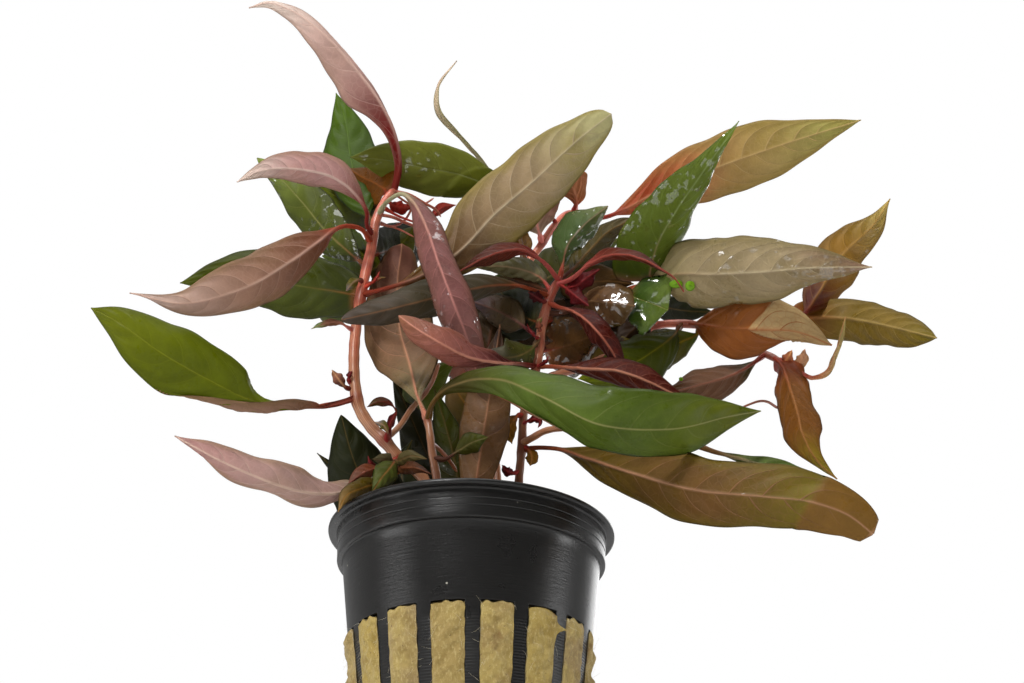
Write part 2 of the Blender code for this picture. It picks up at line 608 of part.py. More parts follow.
def clear_of(line, stem_line, room):
    """The part of a line that starts at a stem's middle, from where it is room away from it."""
    distance = np.linalg.norm(line[:, None] - stem_line[None], axis=2).min(axis=1)
    beyond = np.nonzero(distance < room)[0]
    first = beyond[-1] + 1 if len(beyond) else 0
    return line[first:]


def start_on(stem_name, across, down):
    """The point of a stem's middle line that is seen nearest to a pick, and the stem's radius there."""
    line, radii = stem_lines[stem_name]
    near = np.argmin(np.linalg.norm(seen_at(line) - (across, down), axis=1))
    return line[near], radii[near]


def build_stem(name, picks, width, finish, root=None, on=None):
    """A tapering round stem through picks. root is where its foot stands in the plug; on is its parent."""
    route = [place(*pick) for pick in picks]
    if root:
        foot = WOOL_TOP - SOCKET_DEPTH
        route = [np.array((*root, foot)), np.array((*root, WOOL_TOP + 1.0))] + route
    else:
        start, parent_radius = start_on(on, *picks[0][:2])
        route = [start] + route[1:]
    line = smooth_line(route)
    radii = spread(width, np.linspace(0, 1, len(line))) / 2
    stem_lines[name] = (line, radii)
    if on:
        line = clear_of(line, stem_lines[on][0], parent_radius + GAP + STEM_ROOM)
        radii = radii[-len(line):]
    length = np.linalg.norm(np.diff(line, axis=0), axis=1).sum()
    count = max(4, round(length / STEM_STEP))
    chosen = np.linspace(0, len(line) - 1, count).round().astype(int)
    tangents, left, away = (part[chosen] for part in frames_along(line))
    turns = 2 * math.pi * np.arange(STEM_SIDES) / STEM_SIDES
    across = np.cos(turns)[None, :, None] * left[:, None] - np.sin(turns)[None, :, None] * away[:, None]
    points = line[chosen][:, None] + radii[chosen][:, None, None] * across
    faces = ring_faces(count, STEM_SIDES)
    last = (count - 1) * STEM_SIDES
    faces += [tuple(range(STEM_SIDES))[::-1], tuple(range(last, last + STEM_SIDES))]
    mesh_object(name, points.reshape(-1, 3), faces, finish)


def blade_share(t, peak, stalk, fullness):
    """Half-width as a share of the widest: sin(pi u^k) to a power that runs from base to tip."""
    u = np.clip((t - stalk) / (1 - stalk), 0, 1)
    bend = math.log(0.5) / math.log(peak)
    return np.clip(np.sin(np.pi * u**bend), 0, 1) ** np.interp(u, (0, 1), fullness)


def build_leaf(name, route, wide, left, right, colour, on=None, root=None, peak=0.5, stalk=0.1,
               fullness=(0.85, 1.05)):
    """A thin closed blade on its stalk: two halves that meet in a fold along the midrib."""
    if root:
        line = smooth_line([(*root, WOOL_TOP + GAP)] + [place(*pick) for pick in route])
    else:
        start, stem_radius = start_on(on, *route[0][:2])
        line = smooth_line([start] + [place(*pick) for pick in route[1:]])
        line = clear_of(line, stem_lines[on][0], stem_radius + GAP)
    inner = np.linspace(stalk, 1, LEAF_STATIONS - 1)
    stations = np.concatenate(([stalk * 0.15], inner[:-1], [0.975]))
    chosen = (stations * (len(line) - 1)).round().astype(int)
    tangents, across, away = (part[chosen] for part in frames_along(line))
    middle = line[chosen]
    share = blade_share(stations, peak, stalk, fullness)
    half = np.maximum(PETIOLE_HALF_WIDTH * (1 - stations**4), wide / 2 * share)
    half = half[:, None]
    a = np.radians(spread(left, stations))[:, None]
    b = np.radians(spread(right, stations))[:, None]
    out_left = np.cos(a) * across + np.sin(a) * away
    out_right = -np.cos(b) * across + np.sin(b) * away
    face_left = np.sin(a) * across - np.cos(a) * away
    face_right = -np.sin(b) * across - np.cos(b) * away
    thick = np.minimum(LEAF_THICKNESS / 2, half * 0.6)
    ridge = thick * unit(face_left + face_right)
    ring = (
        middle + half * out_left,
        middle + half / 2 * out_left + thick * 0.8 * face_left,
        middle + ridge,
        middle + half / 2 * out_right + thick * 0.8 * face_right,
        middle + half * out_right,
        middle + half / 2 * out_right - thick * 0.8 * face_right,
        middle - ridge,
        middle + half / 2 * out_left - thick * 0.8 * face_left,
    )
    sides = len(ring)
    points = np.stack(ring, axis=1).reshape(-1, 3)
    points = np.concatenate((points, line[:1], line[-1:]))
    faces = ring_faces(len(stations), sides)
    faces += pole_faces(len(points) - 2, 0, sides, outward=False)
    faces += pole_faces(len(points) - 1, (len(stations) - 1) * sides, sides, outward=True)
    mesh_object(name, points, faces, material(name.replace("_", " "), colour, 0.4))


def clear_scene():
    for old in list(bpy.data.objects):
        bpy.data.objects.remove(old)


def main():
    clear_scene()
    build_pot()
    for name, stem in STEMS.items():
        build_stem(name, stem["route"], stem["width"], material(name.replace("_", " "), STEM_PINK, 0.35),
                   stem.get("root"), stem.get("on"))
    build_wool({
        name: (*stem["root"], stem["width"][0] / 2) for name, stem in STEMS.items() if "root" in stem
    })
    for name, leaf in LEAVES.items():
        build_leaf(name, **leaf)


main()
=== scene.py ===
"""The looks of the potted red-stemmed aquarium plant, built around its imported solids.

Metres in the meshes, and millimetres in the tables, +Z up, -Y the front. Every stem and leaf follows
the route that its solid follows: picks on the front view, as across, down and millimetres behind the axis.
"""

import functools
import math

import bpy
import numpy as np
from mathutils import Matrix


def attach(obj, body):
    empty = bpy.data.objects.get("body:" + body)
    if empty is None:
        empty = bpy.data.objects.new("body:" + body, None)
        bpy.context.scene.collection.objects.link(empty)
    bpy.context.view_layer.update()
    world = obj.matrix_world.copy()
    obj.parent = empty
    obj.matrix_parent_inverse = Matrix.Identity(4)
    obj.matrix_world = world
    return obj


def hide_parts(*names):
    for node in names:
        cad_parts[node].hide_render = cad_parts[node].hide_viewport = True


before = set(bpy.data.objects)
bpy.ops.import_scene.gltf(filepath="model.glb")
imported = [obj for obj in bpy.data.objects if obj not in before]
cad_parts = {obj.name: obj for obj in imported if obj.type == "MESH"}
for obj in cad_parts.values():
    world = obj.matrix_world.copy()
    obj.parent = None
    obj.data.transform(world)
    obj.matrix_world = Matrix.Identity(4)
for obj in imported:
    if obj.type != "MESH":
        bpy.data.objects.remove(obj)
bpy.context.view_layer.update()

MM = 0.001

# The pot, in millimetres and degrees
POT_HEIGHT = 50.0
RIM_RADIUS = 27.5
RIM_THICKNESS = 1.1
COLLAR_RADIUS = 25.6
COLLAR_BOTTOM = 43.2
WALL_TOP_RADIUS = 24.6
SLOT_TOP = 28.4
SLOT_TOP_RADIUS = 23.0
SLOT_BOTTOM = 5.0
BASE_RADIUS = 19.7
POT_WALL = 1.2
POT_FLOOR = 1.5
RIM_LEAN = 0.019
SLOT_COUNT = 16
PITCH = 360 / SLOT_COUNT
BAR_ANGLE = 7.0
FIRST_BAR = -88.0
# Rings of the pot's mesh from a slot's foot to its top, and faces round each bar and slot
SLOT_RINGS = 18
BAR_FACES = 4
SLOT_FACES = 10
# The collar's moulded band: how far it stands past COLLAR_RADIUS, and how high, in millimetres
BAND = ((0.02, 44.6), (0.05, 45.3), (-0.1, 45.5), (0.08, 45.7), (0.1, 46.7), (-0.04, 46.9), (0.14, 47.1),
        (0.2, 47.9))

# The mineral wool plug, in millimetres, and the tones of its pads, from yellow at 0 to beige at 1
WOOL_TOP = 42.0
SOCKET_DEPTH = 7.0
GAP = 0.32
PAD_TONES = (0.75, 0.15, 0.95, 0.55, 0.5, 0.35)
# The torn flap of one pad: its slot, its height in millimetres, and degrees past the slot's edge
FLAP_SLOT = 1
FLAP_HEIGHT = 25.2
FLAP_TURN = 6.5
# Stray fibres in all, those of them on the pads, and a fibre's radius in millimetres
FIBRES = 480
PAD_FIBRES = 300
FIBRE_RADIUS = 0.024

# The front view: a camera below the rim that looks up at the plant
VIEW_PLACE = np.array((7.78, -371.0, -99.0))
VIEW_PITCH = math.radians(27.2)
VIEW_FOCAL = 2068.0
VIEW_SIZE = (1024, 683)
VIEW_CENTRE = (VIEW_SIZE[0] / 2, VIEW_SIZE[1] / 2)
VIEW_RIGHT = np.array((1.0, 0.0, 0.0))
VIEW_UP = np.array((0.0, -math.sin(VIEW_PITCH), math.cos(VIEW_PITCH)))
VIEW_FORWARD = np.array((0.0, math.cos(VIEW_PITCH), math.sin(VIEW_PITCH)))
SENSOR = 36.0

# The surround's glow behind the plant and before it. A lamp's place, target and size are in metres, and
# its power in watts.
SURROUND = 0.38
FRONT = 0.06
LAMPS = {
    "left softbox": ((-0.95, -0.4, -0.12), (0, 0, 0.08), (0.5, 0.6), 6.2),
    "right softbox": ((1.0, -0.1, -0.1), (0, 0, 0.08), (0.4, 0.6), 5.8),
    "low front fill": ((0.0, -0.9, -0.35), (0, 0, 0.08), (0.7, 0.35), 2.8),
    "key over the left shoulder": ((-0.3, -0.65, 0.6), (0, 0, 0.1), (0.16, 0.16), 4.6),
    "top": ((0.0, -0.15, 0.8), (0, 0, 0.08), (0.6, 0.6), 2.5),
    "back fill": ((0.4, 0.95, 0.5), (0, 0, 0.08), (0.7, 0.5), 3.0),
}
FLOOR_REACH = 0.9
FLOOR_HEIGHT = -0.0002

LINE_STEPS = 400
# How far half a blade's section turns from the midrib to the margin, in radians
CURL = 0.45
# How strongly the side veins show on each side of a blade
VEINING = {"under": 1.0, "top": 0.42}
# The other side's skin, by the side that shows, where a blade's entry names none
LARGE_BACKS = {"under": "olive_top", "top": "brown"}
SMALL_BACKS = {"under": "green_black", "top": "brown"}


def blade(carrier, wide, front, route, **rest):
    """A blade's values: a stem or a foot in the plug, a width in millimetres, a skin, picks and the rest.

    left and right are how far each half bends back from facing the front, in degrees at even steps from
    base to tip. shows is the side that faces the front, stalk the share of the route before the blade,
    peak where the blade is widest, and fullness how full it is at base and tip. shares are half-widths at
    even steps of the whole route, and stand in for peak and fullness. fold is where the tip turns over: a
    share of the route, slopes on the left and right, and a lift in millimetres. roll_at and roll_by are
    where the margin of roll_side rolls, as shares of the half width, and by how many degrees. knot is the
    pick of the stem's knot, where that isn't the first pick.
    """
    usual = dict(left=(30, 20, 30), right=(30, 20, 30), stalk=0.1, peak=0.5, fullness=(0.85, 1.05),
                 shows="under", tint=(1, 1, 1), wet=0.0)
    carried = {"on": carrier} if isinstance(carrier, str) else {"root": carrier}
    return usual | carried | dict(wide=wide, front=front, route=route) | rest


# Each pick is (across, down, depth): pixels of the front view, then millimetres behind the axis.
# root is where a foot stands in the plug, in millimetres, and on is the stem that carries a piece.
# brown is how far a stem's brown foot reaches up, in millimetres.
STEMS = {
    "left": dict(root=(-11.0, -2.0), width=(2.3, 2.2, 2.4, 2.4, 2.2, 2.1, 1.9, 1.6), route=((420, 474, -2),
        (399, 458, -2), (384, 440, -3), (372, 428, -3), (359, 407, -3), (355, 385, -3), (354, 355, -3),
        (357, 320, -2), (364, 280, -2), (371, 250, -1), (378, 215, -1), (387, 198, -1), (396, 189, -1))),
    "middle": dict(root=(9.0, 3.0), brown=75, width=(2.0, 2.0, 1.7, 1.7, 1.8, 1.5), route=((519, 480, 3),
        (522, 445, 2), (524, 412, 1), (533, 380, 0), (539, 352, 0), (542, 325, 0), (547, 306, -1),
        (554, 289, -1), (560, 279, -1))),
    "front": dict(root=(-6.0, -11.0), brown=45, width=(1.9, 1.8, 1.6, 1.3), route=((437, 480, -12),
        (432, 452, -13), (429, 428, -13), (426, 416, -12))),
    "back": dict(root=(3.0, 13.0), width=(1.8, 1.8, 1.6, 1.6, 1.5), route=((497, 478, 14), (492, 430, 16),
        (494, 370, 17), (504, 310, 17), (523, 270, 16), (539, 248, 15), (557, 223, 15), (568, 214, 16),
        (584, 217, 17))),
    "left_branch": dict(on="left", width=(1.2, 1.1, 0.8), route=((384, 441, -3), (397, 429, -1),
        (412, 408, 3), (426, 392, 6), (433, 380, 8), (439, 363, 9))),
    "low_branch": dict(on="middle", width=(1.5, 1.2, 1.1, 1.0), route=((524, 443, 2), (532, 438, -1),
        (545, 431, -4), (565, 428, -7), (610, 432, -11), (660, 440, -13), (700, 446, -14))),
    "right": dict(on="middle", width=(1.7, 1.6, 1.6, 1.5, 1.3), route=((531, 387, 0), (550, 377, 4),
        (585, 366, 8), (622, 348, 9), (655, 326, 9), (688, 324, 8), (722, 331, 8), (752, 338, 8),
        (778, 334, 8), (800, 320, 8))),
    "right_upper": dict(on="right", width=(1.4, 1.2, 1.1), route=((655, 326, 9), (655, 316, 7),
        (653, 300, 4), (649, 282, 1))),
    "right_low": dict(on="right", width=(1.4, 1.3, 1.2), route=((752, 338, 8), (762, 352, 7), (774, 358, 6),
        (790, 368, 5))),
}

# The forty-nine large blades, each in place of a solid, as blade() takes them
LEAVES = {
    "crown": blade("left", 12.5, "crown", ((396, 190), (400, 165, -4), (396, 138, -8), (382, 106, -11),
        (358, 72, -14), (320, 31, -19), (288, 9, -20), (268, 3, -20), (249, 8, -19)),
        left=(10, 8, 10, 20, 30), right=(84, 86, 84, 70, 60), stalk=0.05,
        shares=(0.12, 0.22, 0.32, 0.56, 1.0, 0.9, 0.76, 0.6, 0.44, 0.26, 0.0)),
    "upper_left": blade("left", 9, "dusty_pink", ((375, 237), (367, 225, -4), (367, 213, -7),
        (356, 195, -10), (334, 178, -13), (304, 170, -15), (261, 171, -15), (237, 182, -13)),
        left=(55, 48, 40), stalk=0.2, shares=(0.07, 0.07, 0.12, 0.5, 0.85, 1.0, 0.93, 0.8, 0.6, 0.3, 0.0),
        veins=9),
    "big_left": blade("left", 11.5, "rose_tan", ((374, 243), (361, 229, -6), (348, 226, -9),
        (334, 230, -13), (318, 242, -17), (290, 262, -20), (242, 289, -24), (190, 303, -24),
        (130, 293, -20)), left=(25, 38, 48), right=(35, 14, 15), stalk=0.22,
        shares=(0.06, 0.06, 0.09, 0.5, 0.84, 1.0, 1.0, 0.9, 0.56, 0.17, 0.0), back="green", veins=9,
        wave=0.35),
    "green_under_left": blade("left", 14, "green_deep", ((362, 297), (345, 293, 2), (300, 286, 7),
        (240, 275, 9), (180, 283, 8)), left=(20, 15, 20), right=(20, 15, 20), stalk=0.03, peak=0.42,
        fullness=(0.4, 0.95), shows="top", back="rose_tan", tint=(0.86, 0.84, 0.7)),
    "green_left": blade("left", 11, "green_grey", ((368, 268), (350, 253, 3), (325, 230, 7), (303, 203, 10),
        (280, 178, 12), (257, 158, 12)), left=(30, 40, 30), right=(20, 10, 20), stalk=0.06,
        fullness=(0.85, 0.75), shows="top", back="rose_tan", wet=0.15),
    "green_upright": blade("left", 13, "green_deep", ((376, 226), (366, 212, 6), (357, 187, 11),
        (350, 155, 15), (345, 120, 17), (336, 93, 17)), left=(25, 12, 20), right=(25, 12, 20), stalk=0.12,
        peak=0.55, shows="top", back="rose_tan", tint=(0.8, 0.95, 0.7)),
    "green_broad": blade("back", 12, "green_bright", ((524, 268), (520, 238, 14), (508, 208, 12),
        (487, 186, 10), (461, 175, 8), (425, 168, 6), (385, 160, 4), (350, 157, 2)), left=(20, 15, 15),
        right=(25, 15, 15), stalk=0.14, peak=0.58, fold=(0.5, 0.06, 0.1, 0.35), shows="top", back="khaki",
        wet=0.25),
    "thin_curled": blade("back", 5, "thin_curl", ((516, 280), (508, 235, 20), (498, 190, 22),
        (475, 154, 22), (457, 135, 21), (438, 112, 19), (438, 86, 18), (457, 61, 17)), left=(78, 80, 76),
        right=(-70, -74, -66), stalk=0.25, back="thin_curl"),
    "centre": blade("left", 15, "khaki", ((367, 296), (381, 290, -6), (398, 285, -8), (419, 277, -9),
        (440, 266, -9), (459, 252, -9), (495, 214, -8), (530, 184, -6), (579, 139, -3), (611, 114, 0)),
        left=(30, 12, 15), right=(30, 12, 15), fullness=(1.15, 0.4), back="green", veins=10, wave=0.3),
    "hanging_rose": blade("left", 8.8, "rose_dark", ((378, 214), (387, 202, -6), (400, 194, -10),
        (413, 202, -14), (425, 224, -17), (439, 264, -20), (454, 304, -20), (467, 338, -16),
        (476, 370, -11), (484, 390, -5)), left=(45, 30, 40), right=(40, 28, 40), stalk=0.17,
        shares=(0.06, 0.07, 0.2, 0.6, 0.8, 0.9, 0.97, 1.0, 0.92, 0.68, 0.0), veins=10, wet=0.15),
    "red_front": blade("middle", 8.4, "red_brown", ((536, 366), (522, 364, -5), (500, 363, -14),
        (463, 355, -23), (437, 341, -27), (417, 329, -27), (399, 316, -25)), left=(80, 74, 60, 38, 20),
        right=(45, 40, 30), stalk=0.06, peak=0.6, fullness=(0.9, 0.6), veins=11),
    "long_slate": blade("middle", 10, "slate", ((551, 297), (536, 291, -3), (520, 286, -5), (500, 285, -7),
        (467, 290, -11), (430, 299, -14), (390, 309, -15), (341, 320, -13)), left=(40, 45, 40),
        right=(45, 40, 40), stalk=0.12, fullness=(0.85, 0.5), shows="top", back="mauve", veins=9),
    "front_green": blade("front", 15, "green_front", ((428, 420), (432, 404, -16), (443, 391, -19),
        (463, 382, -22), (494, 379, -26), (545, 398, -32), (598, 424, -35), (670, 429, -32),
        (731, 416, -26), (761, 411, -22)), left=(50, 40, 20, 0, 30), right=(15, 15, 55, 40, 40), stalk=0.04,
        peak=0.6, fullness=(0.65, 1.0), roll_side=-1,
        roll_at=(1.2, 1.1, 0.94, 0.86, 0.85, 0.92, 1.1, 1.2, 1.2, 1.2, 1.2),
        roll_by=(0, 0, -110, -160, -165, -130, 0, 0, 0, 0, 0), shows="top", back="rose_tan",
        tint=(0.92, 0.94, 0.8), veins=10),
    "brown_upright": blade((2.5, -9.0), 10, "brown", ((475, 490, -9), (477, 476, -9), (481, 449, -9),
        (488, 405, -6), (495, 360, -3), (500, 325, 1)), left=(20, 15, 20), right=(20, 15, 20), stalk=0.08),
    "tall_mauve": blade("front", 15.5, "mauve", ((426, 418), (417, 395, -5), (409, 362, 1), (400, 330, 4),
        (397, 290, 5), (402, 244, 4)), left=(20, 12, 20), right=(30, 25, 20, 20), stalk=0.03, peak=0.6,
        fullness=(1.8, 0.4)),
    "far_left_twisted": blade("left", 12.5, "green_lime", ((354, 398), (336, 404, -6), (310, 407, -12),
        (285, 407, -18), (250, 400, -24), (213, 382, -28), (160, 352, -32), (118, 322, -33),
        (91, 308, -32)), left=(0, 5, 8), right=(85, 88, 88, 85, 66, 14, 5, 5, 10, 10, 10), stalk=0.14,
        peak=0.6, fullness=(0.45, 0.95),
        roll_at=(0.0, 0.05, 0.15, 0.22, 0.42, 0.62, 0.8, 1.0, 1.1, 1.2, 1.2),
        roll_by=(-150, -155, -160, -165, -168, -165, -150, -60, 0, 0, 0), shows="top", back="brown_pink",
        veins=9),
    "low_left": blade("left", 9.2, "pink_low", ((405, 463), (382, 474, -6), (356, 488, -12),
        (330, 494, -19), (290, 489, -26), (264, 480, -29), (223, 462, -31), (175, 436, -30)),
        left=(50, 60, 50), right=(60, 30, 15), stalk=0.16, fullness=(0.5, 0.95), back="green", veins=10,
        wave=0.6),
    "low_dark": blade((-18.5, 6.0), 15, "green_black", ((370, 498, 5), (360, 476, 4), (351, 452, 3),
        (341, 415, 2)), left=(30, 15, 30), right=(30, 15, 30), stalk=0.08, peak=0.45, fullness=(0.5, 0.75),
        shows="top"),
    "dark_behind_left": blade((-5.0, 10.0), 11, "green_black", ((438, 478, 12), (425, 450, 14),
        (410, 415, 16), (392, 374, 17)), shows="top", tint=(0.8, 0.7, 0.4)),
    "olive_behind_front": blade((-1.5, 3.0), 9, "olive_dark", ((458, 480, 2), (452, 450, 2), (444, 420, 2),
        (434, 388, 2)), back="green_black"),
    "low_right": blade("middle", 13.5, "olive_under", ((521, 451), (535, 448, 1), (549, 448, -1),
        (586, 458, -9), (632, 473, -18), (701, 491, -27), (768, 497, -32), (816, 503, -34), (850, 516, -34),
        (873, 534, -33)), left=(40, 20, 20, 20), right=(45, 32, 25, 25), stalk=0.08, peak=0.55,
        fullness=(0.9, 0.27), fold=(0.84, 0.02, 0.03, 0.5), back="green", veins=11, wave=0.5),
    "green_sliver": blade("low_branch", 4.8, "green_front", ((694, 445), (712, 451, -14), (765, 466, -18),
        (815, 484, -20), (870, 516, -19)), left=(40, 30, 40), right=(60, 60, 50), stalk=0.08,
        back="olive_under"),
    "upper_right": blade("back", 15, "rust_olive", ((579, 215), (600, 218, 19), (626, 209, 21),
        (652, 195, 22), (678, 182, 23), (726, 164, 25), (769, 149, 26), (861, 120, 26)), left=(30, 15, 20),
        right=(30, 15, 20), peak=0.52, veins=11, wave=0.3),
    "green_upright_right": blade("right_upper", 16, "green_deep", ((650, 288), (650, 272, -5),
        (658, 243, -12), (674, 214, -18), (700, 176, -25), (739, 121, -30)), left=(0, 8, 30),
        right=(50, 58, 50), stalk=0.06, peak=0.15, fullness=(0.4, 1.05), shows="top", back="khaki",
        tint=(1.16, 1.2, 1.6), wet=0.2),
    "khaki_right": blade("right_upper", 15, "khaki_mauve", ((651, 292), (658, 280, -3), (673, 275, -7),
        (715, 274, -14), (761, 272, -19), (807, 268, -22), (872, 267, -21)), left=(30, 8, 20),
        right=(10, 30, 40), stalk=0.01, peak=0.4, fullness=(0.3, 1.0), back="green", veins=10, wave=0.35,
        wet=0.1),
    "amber_far_right": blade("right", 11.5, "amber", ((798, 321), (806, 312, 10), (818, 294, 13),
        (846, 251, 18), (875, 223, 20), (890, 199, 20)), right=(35, 25, 35), stalk=0.06),
    "far_right": blade("right", 10.4, "olive_yellow", ((796, 322), (812, 317, 14), (840, 318, 14),
        (864, 321, 9), (887, 326, 3), (937, 338, -9)), left=(40, 35, 40), right=(30, 15, 30),
        shares=(0.3, 0.66, 0.92, 1.0, 0.98, 0.92, 0.85, 0.77, 0.64, 0.4, 0.0), back="green"),
    "rust_folded": blade("right", 14, "rust", ((690, 324), (702, 325, 2), (730, 328, -4), (761, 329, -8),
        (795, 331, -9), (832, 345, -8)), left=(30, 12, 30), right=(20, 5, 35, 66, 50), stalk=0.04,
        fold=(0.53, 0.15, -0.3, 0.7)),
    "brown_low_right": blade("right_low", 10, "brown_low", ((766, 353), (752, 364, 5), (730, 376, 2),
        (696, 386, 0), (662, 395, -2)), left=(45, 35, 40), right=(45, 50, 50), stalk=0.08,
        back="green_black"),
    "crimson": blade("middle", 6.2, "crimson", ((549, 303), (558, 307, -4), (572, 311, -8), (587, 321, -11),
        (601, 336, -12), (613, 353, -10), (624, 385, -6)), left=(40, 30, 40), right=(50, 45, 50),
        stalk=0.16, fullness=(1.1, 0.8), back="crimson"),
    "crimson_low": blade("middle", 8, "crimson", ((536, 366), (560, 367, -6), (590, 369, -10),
        (618, 371, -13), (647, 381, -14), (672, 393, -13), (698, 405, -12)), left=(50, 45, 50),
        right=(50, 45, 50), stalk=0.18, back="crimson", tint=(1.1, 1.3, 1.3)),
    "hanging_right": blade("right_low", 9.8, "rust_hanging", ((776, 356), (783, 368, 0), (790, 388, -4),
        (797, 411, -8), (805, 440, -11), (818, 462, -11), (837, 479, -9)), left=(45, 35, 40),
        right=(50, 38, 45), stalk=0.04,
        shares=(0.55, 0.95, 1.0, 0.93, 0.9, 0.95, 1.0, 0.86, 0.56, 0.28, 0.0), knot=(774, 358), wave=0.3),
    "edge_on_right": blade("right_low", 3.2, "red_to_green", ((789, 367), (800, 372, 2), (815, 377, -2),
        (828, 370, -5), (836, 352, -8), (846, 317, -9)), left=(74, 76, 70), right=(-62, -66, -60),
        back="red_to_green"),
    "red_arch_left": blade("middle", 6.5, "red_arch", ((558, 281), (550, 269, -4), (538, 258, -8),
        (522, 250, -12), (505, 251, -15), (482, 259, -17), (460, 271, -16)), left=(60, 50, 50),
        right=(60, 60, 50), stalk=0.2, back="crimson"),
    "red_arch_right": blade("middle", 4.8, "red_arch", ((556, 285), (571, 279, -6), (590, 264, -14),
        (612, 255, -21), (636, 257, -26), (658, 267, -28), (676, 280, -28), (684, 292, -27)),
        left=(60, 55, 60), right=(60, 60, 60), stalk=0.2, peak=0.4, fullness=(0.9, 2.2), back="crimson"),
    "dark_glossy": blade("middle", 12.6, "green_wet", ((560, 279), (563, 264, -3), (567, 247, -5),
        (583, 226, -7), (608, 206, -8)), left=(42, 46, 56), right=(60, 60, 50), fullness=(1.0, 0.9),
        shows="top", wet=0.8),
    "olive_grey": blade("middle", 8, "olive_grey", ((559, 281), (574, 268, 2), (590, 250, 4), (608, 232, 5),
        (638, 217, 5)), left=(45, 45, 45), right=(45, 40, 45), stalk=0.14, back="green_black"),
    "mauve_behind": blade("back", 12, "mauve", ((543, 243), (538, 228, 10), (533, 205, 7), (528, 175, 5)),
        stalk=0.12, tint=(1.3, 1.2, 1.4)),
    "orange_behind": blade("back", 9, "orange", ((574, 214), (576, 200, 12), (568, 180, 8), (556, 160, 5)),
        left=(30, 25, 30), right=(30, 25, 30), stalk=0.12),
    "brown_glossy": blade("middle", 9.2, "brown_wet", ((545, 312), (565, 312, 0), (583, 303, -2),
        (600, 302, -5), (615, 303, -6), (635, 306, -7)), left=(30, 32, 34, 34), right=(5, 5, 5), stalk=0.36,
        shares=(0.06, 0.06, 0.06, 0.1, 0.5, 0.85, 0.98, 1.0, 1.0, 0.9, 0.0), back="green_black", wet=0.9),
    "green_mid_right": blade("right_upper", 15.2, "green_wet", ((651, 286), (641, 286, 3), (628, 289, 2),
        (626, 294, -1), (644, 301, -3), (668, 310, -4)), left=(8, 8, 8, 8), right=(-24, -24, -28, -30),
        stalk=0.5, shares=(0.05, 0.05, 0.05, 0.05, 0.05, 0.15, 0.55, 0.7, 0.86, 1.0, 0.0), shows="top",
        tint=(1.05, 1.15, 0.8), wet=0.9),
    "olive_mid_right": blade("right", 12, "green_grey", ((682, 326), (672, 337, 4), (655, 350, 1),
        (636, 362, 0), (600, 374, -1), (578, 379, -2)), right=(40, 30, 40), stalk=0.05, shows="top",
        tint=(0.9, 0.9, 0.3)),
    "dark_brown_mid": blade("middle", 10, "brown_wet", ((540, 344), (556, 340, 5), (575, 334, 10),
        (600, 326, 14)), stalk=0.08, back="green_black", wet=0.5),
    "grey_green_mid": blade("middle", 6.5, "grey_green", ((552, 293), (538, 276, 2), (515, 268, 4),
        (495, 266, 5), (474, 267, 5)), left=(40, 45, 50), right=(40, 40, 50), stalk=0.12, shows="top"),
    "teal_behind": blade("middle", 12, "green_black", ((543, 322), (531, 320, 6), (518, 312, 10),
        (504, 296, 12), (490, 280, 12)), left=(30, 15, 30), right=(30, 15, 30), stalk=0.08, shows="top"),
    "back_left": blade("left", 12, "green_grey", ((361, 300), (350, 300, 8), (335, 299, 17), (318, 295, 27),
        (300, 290, 38)), left=(25, 15, 25), right=(25, 15, 25), shows="top", back="mauve"),
    "back_right": blade("back", 12, "green", ((509, 300), (530, 288, 25), (560, 270, 34), (588, 254, 42),
        (622, 238, 48)), left=(25, 15, 25), right=(25, 15, 25), shows="top", back="khaki"),
    "back_low": blade("back", 12, "brown_red", ((494, 380), (484, 372, 26), (466, 358, 36), (446, 342, 44),
        (425, 330, 50)), left=(25, 15, 25), right=(25, 15, 25), shows="top"),
    "green_by_stem": blade("left", 12, "green_black", ((371, 256), (384, 252, 6), (402, 246, 15),
        (425, 238, 21), (450, 232, 24)), stalk=0.08, shows="top"),
}

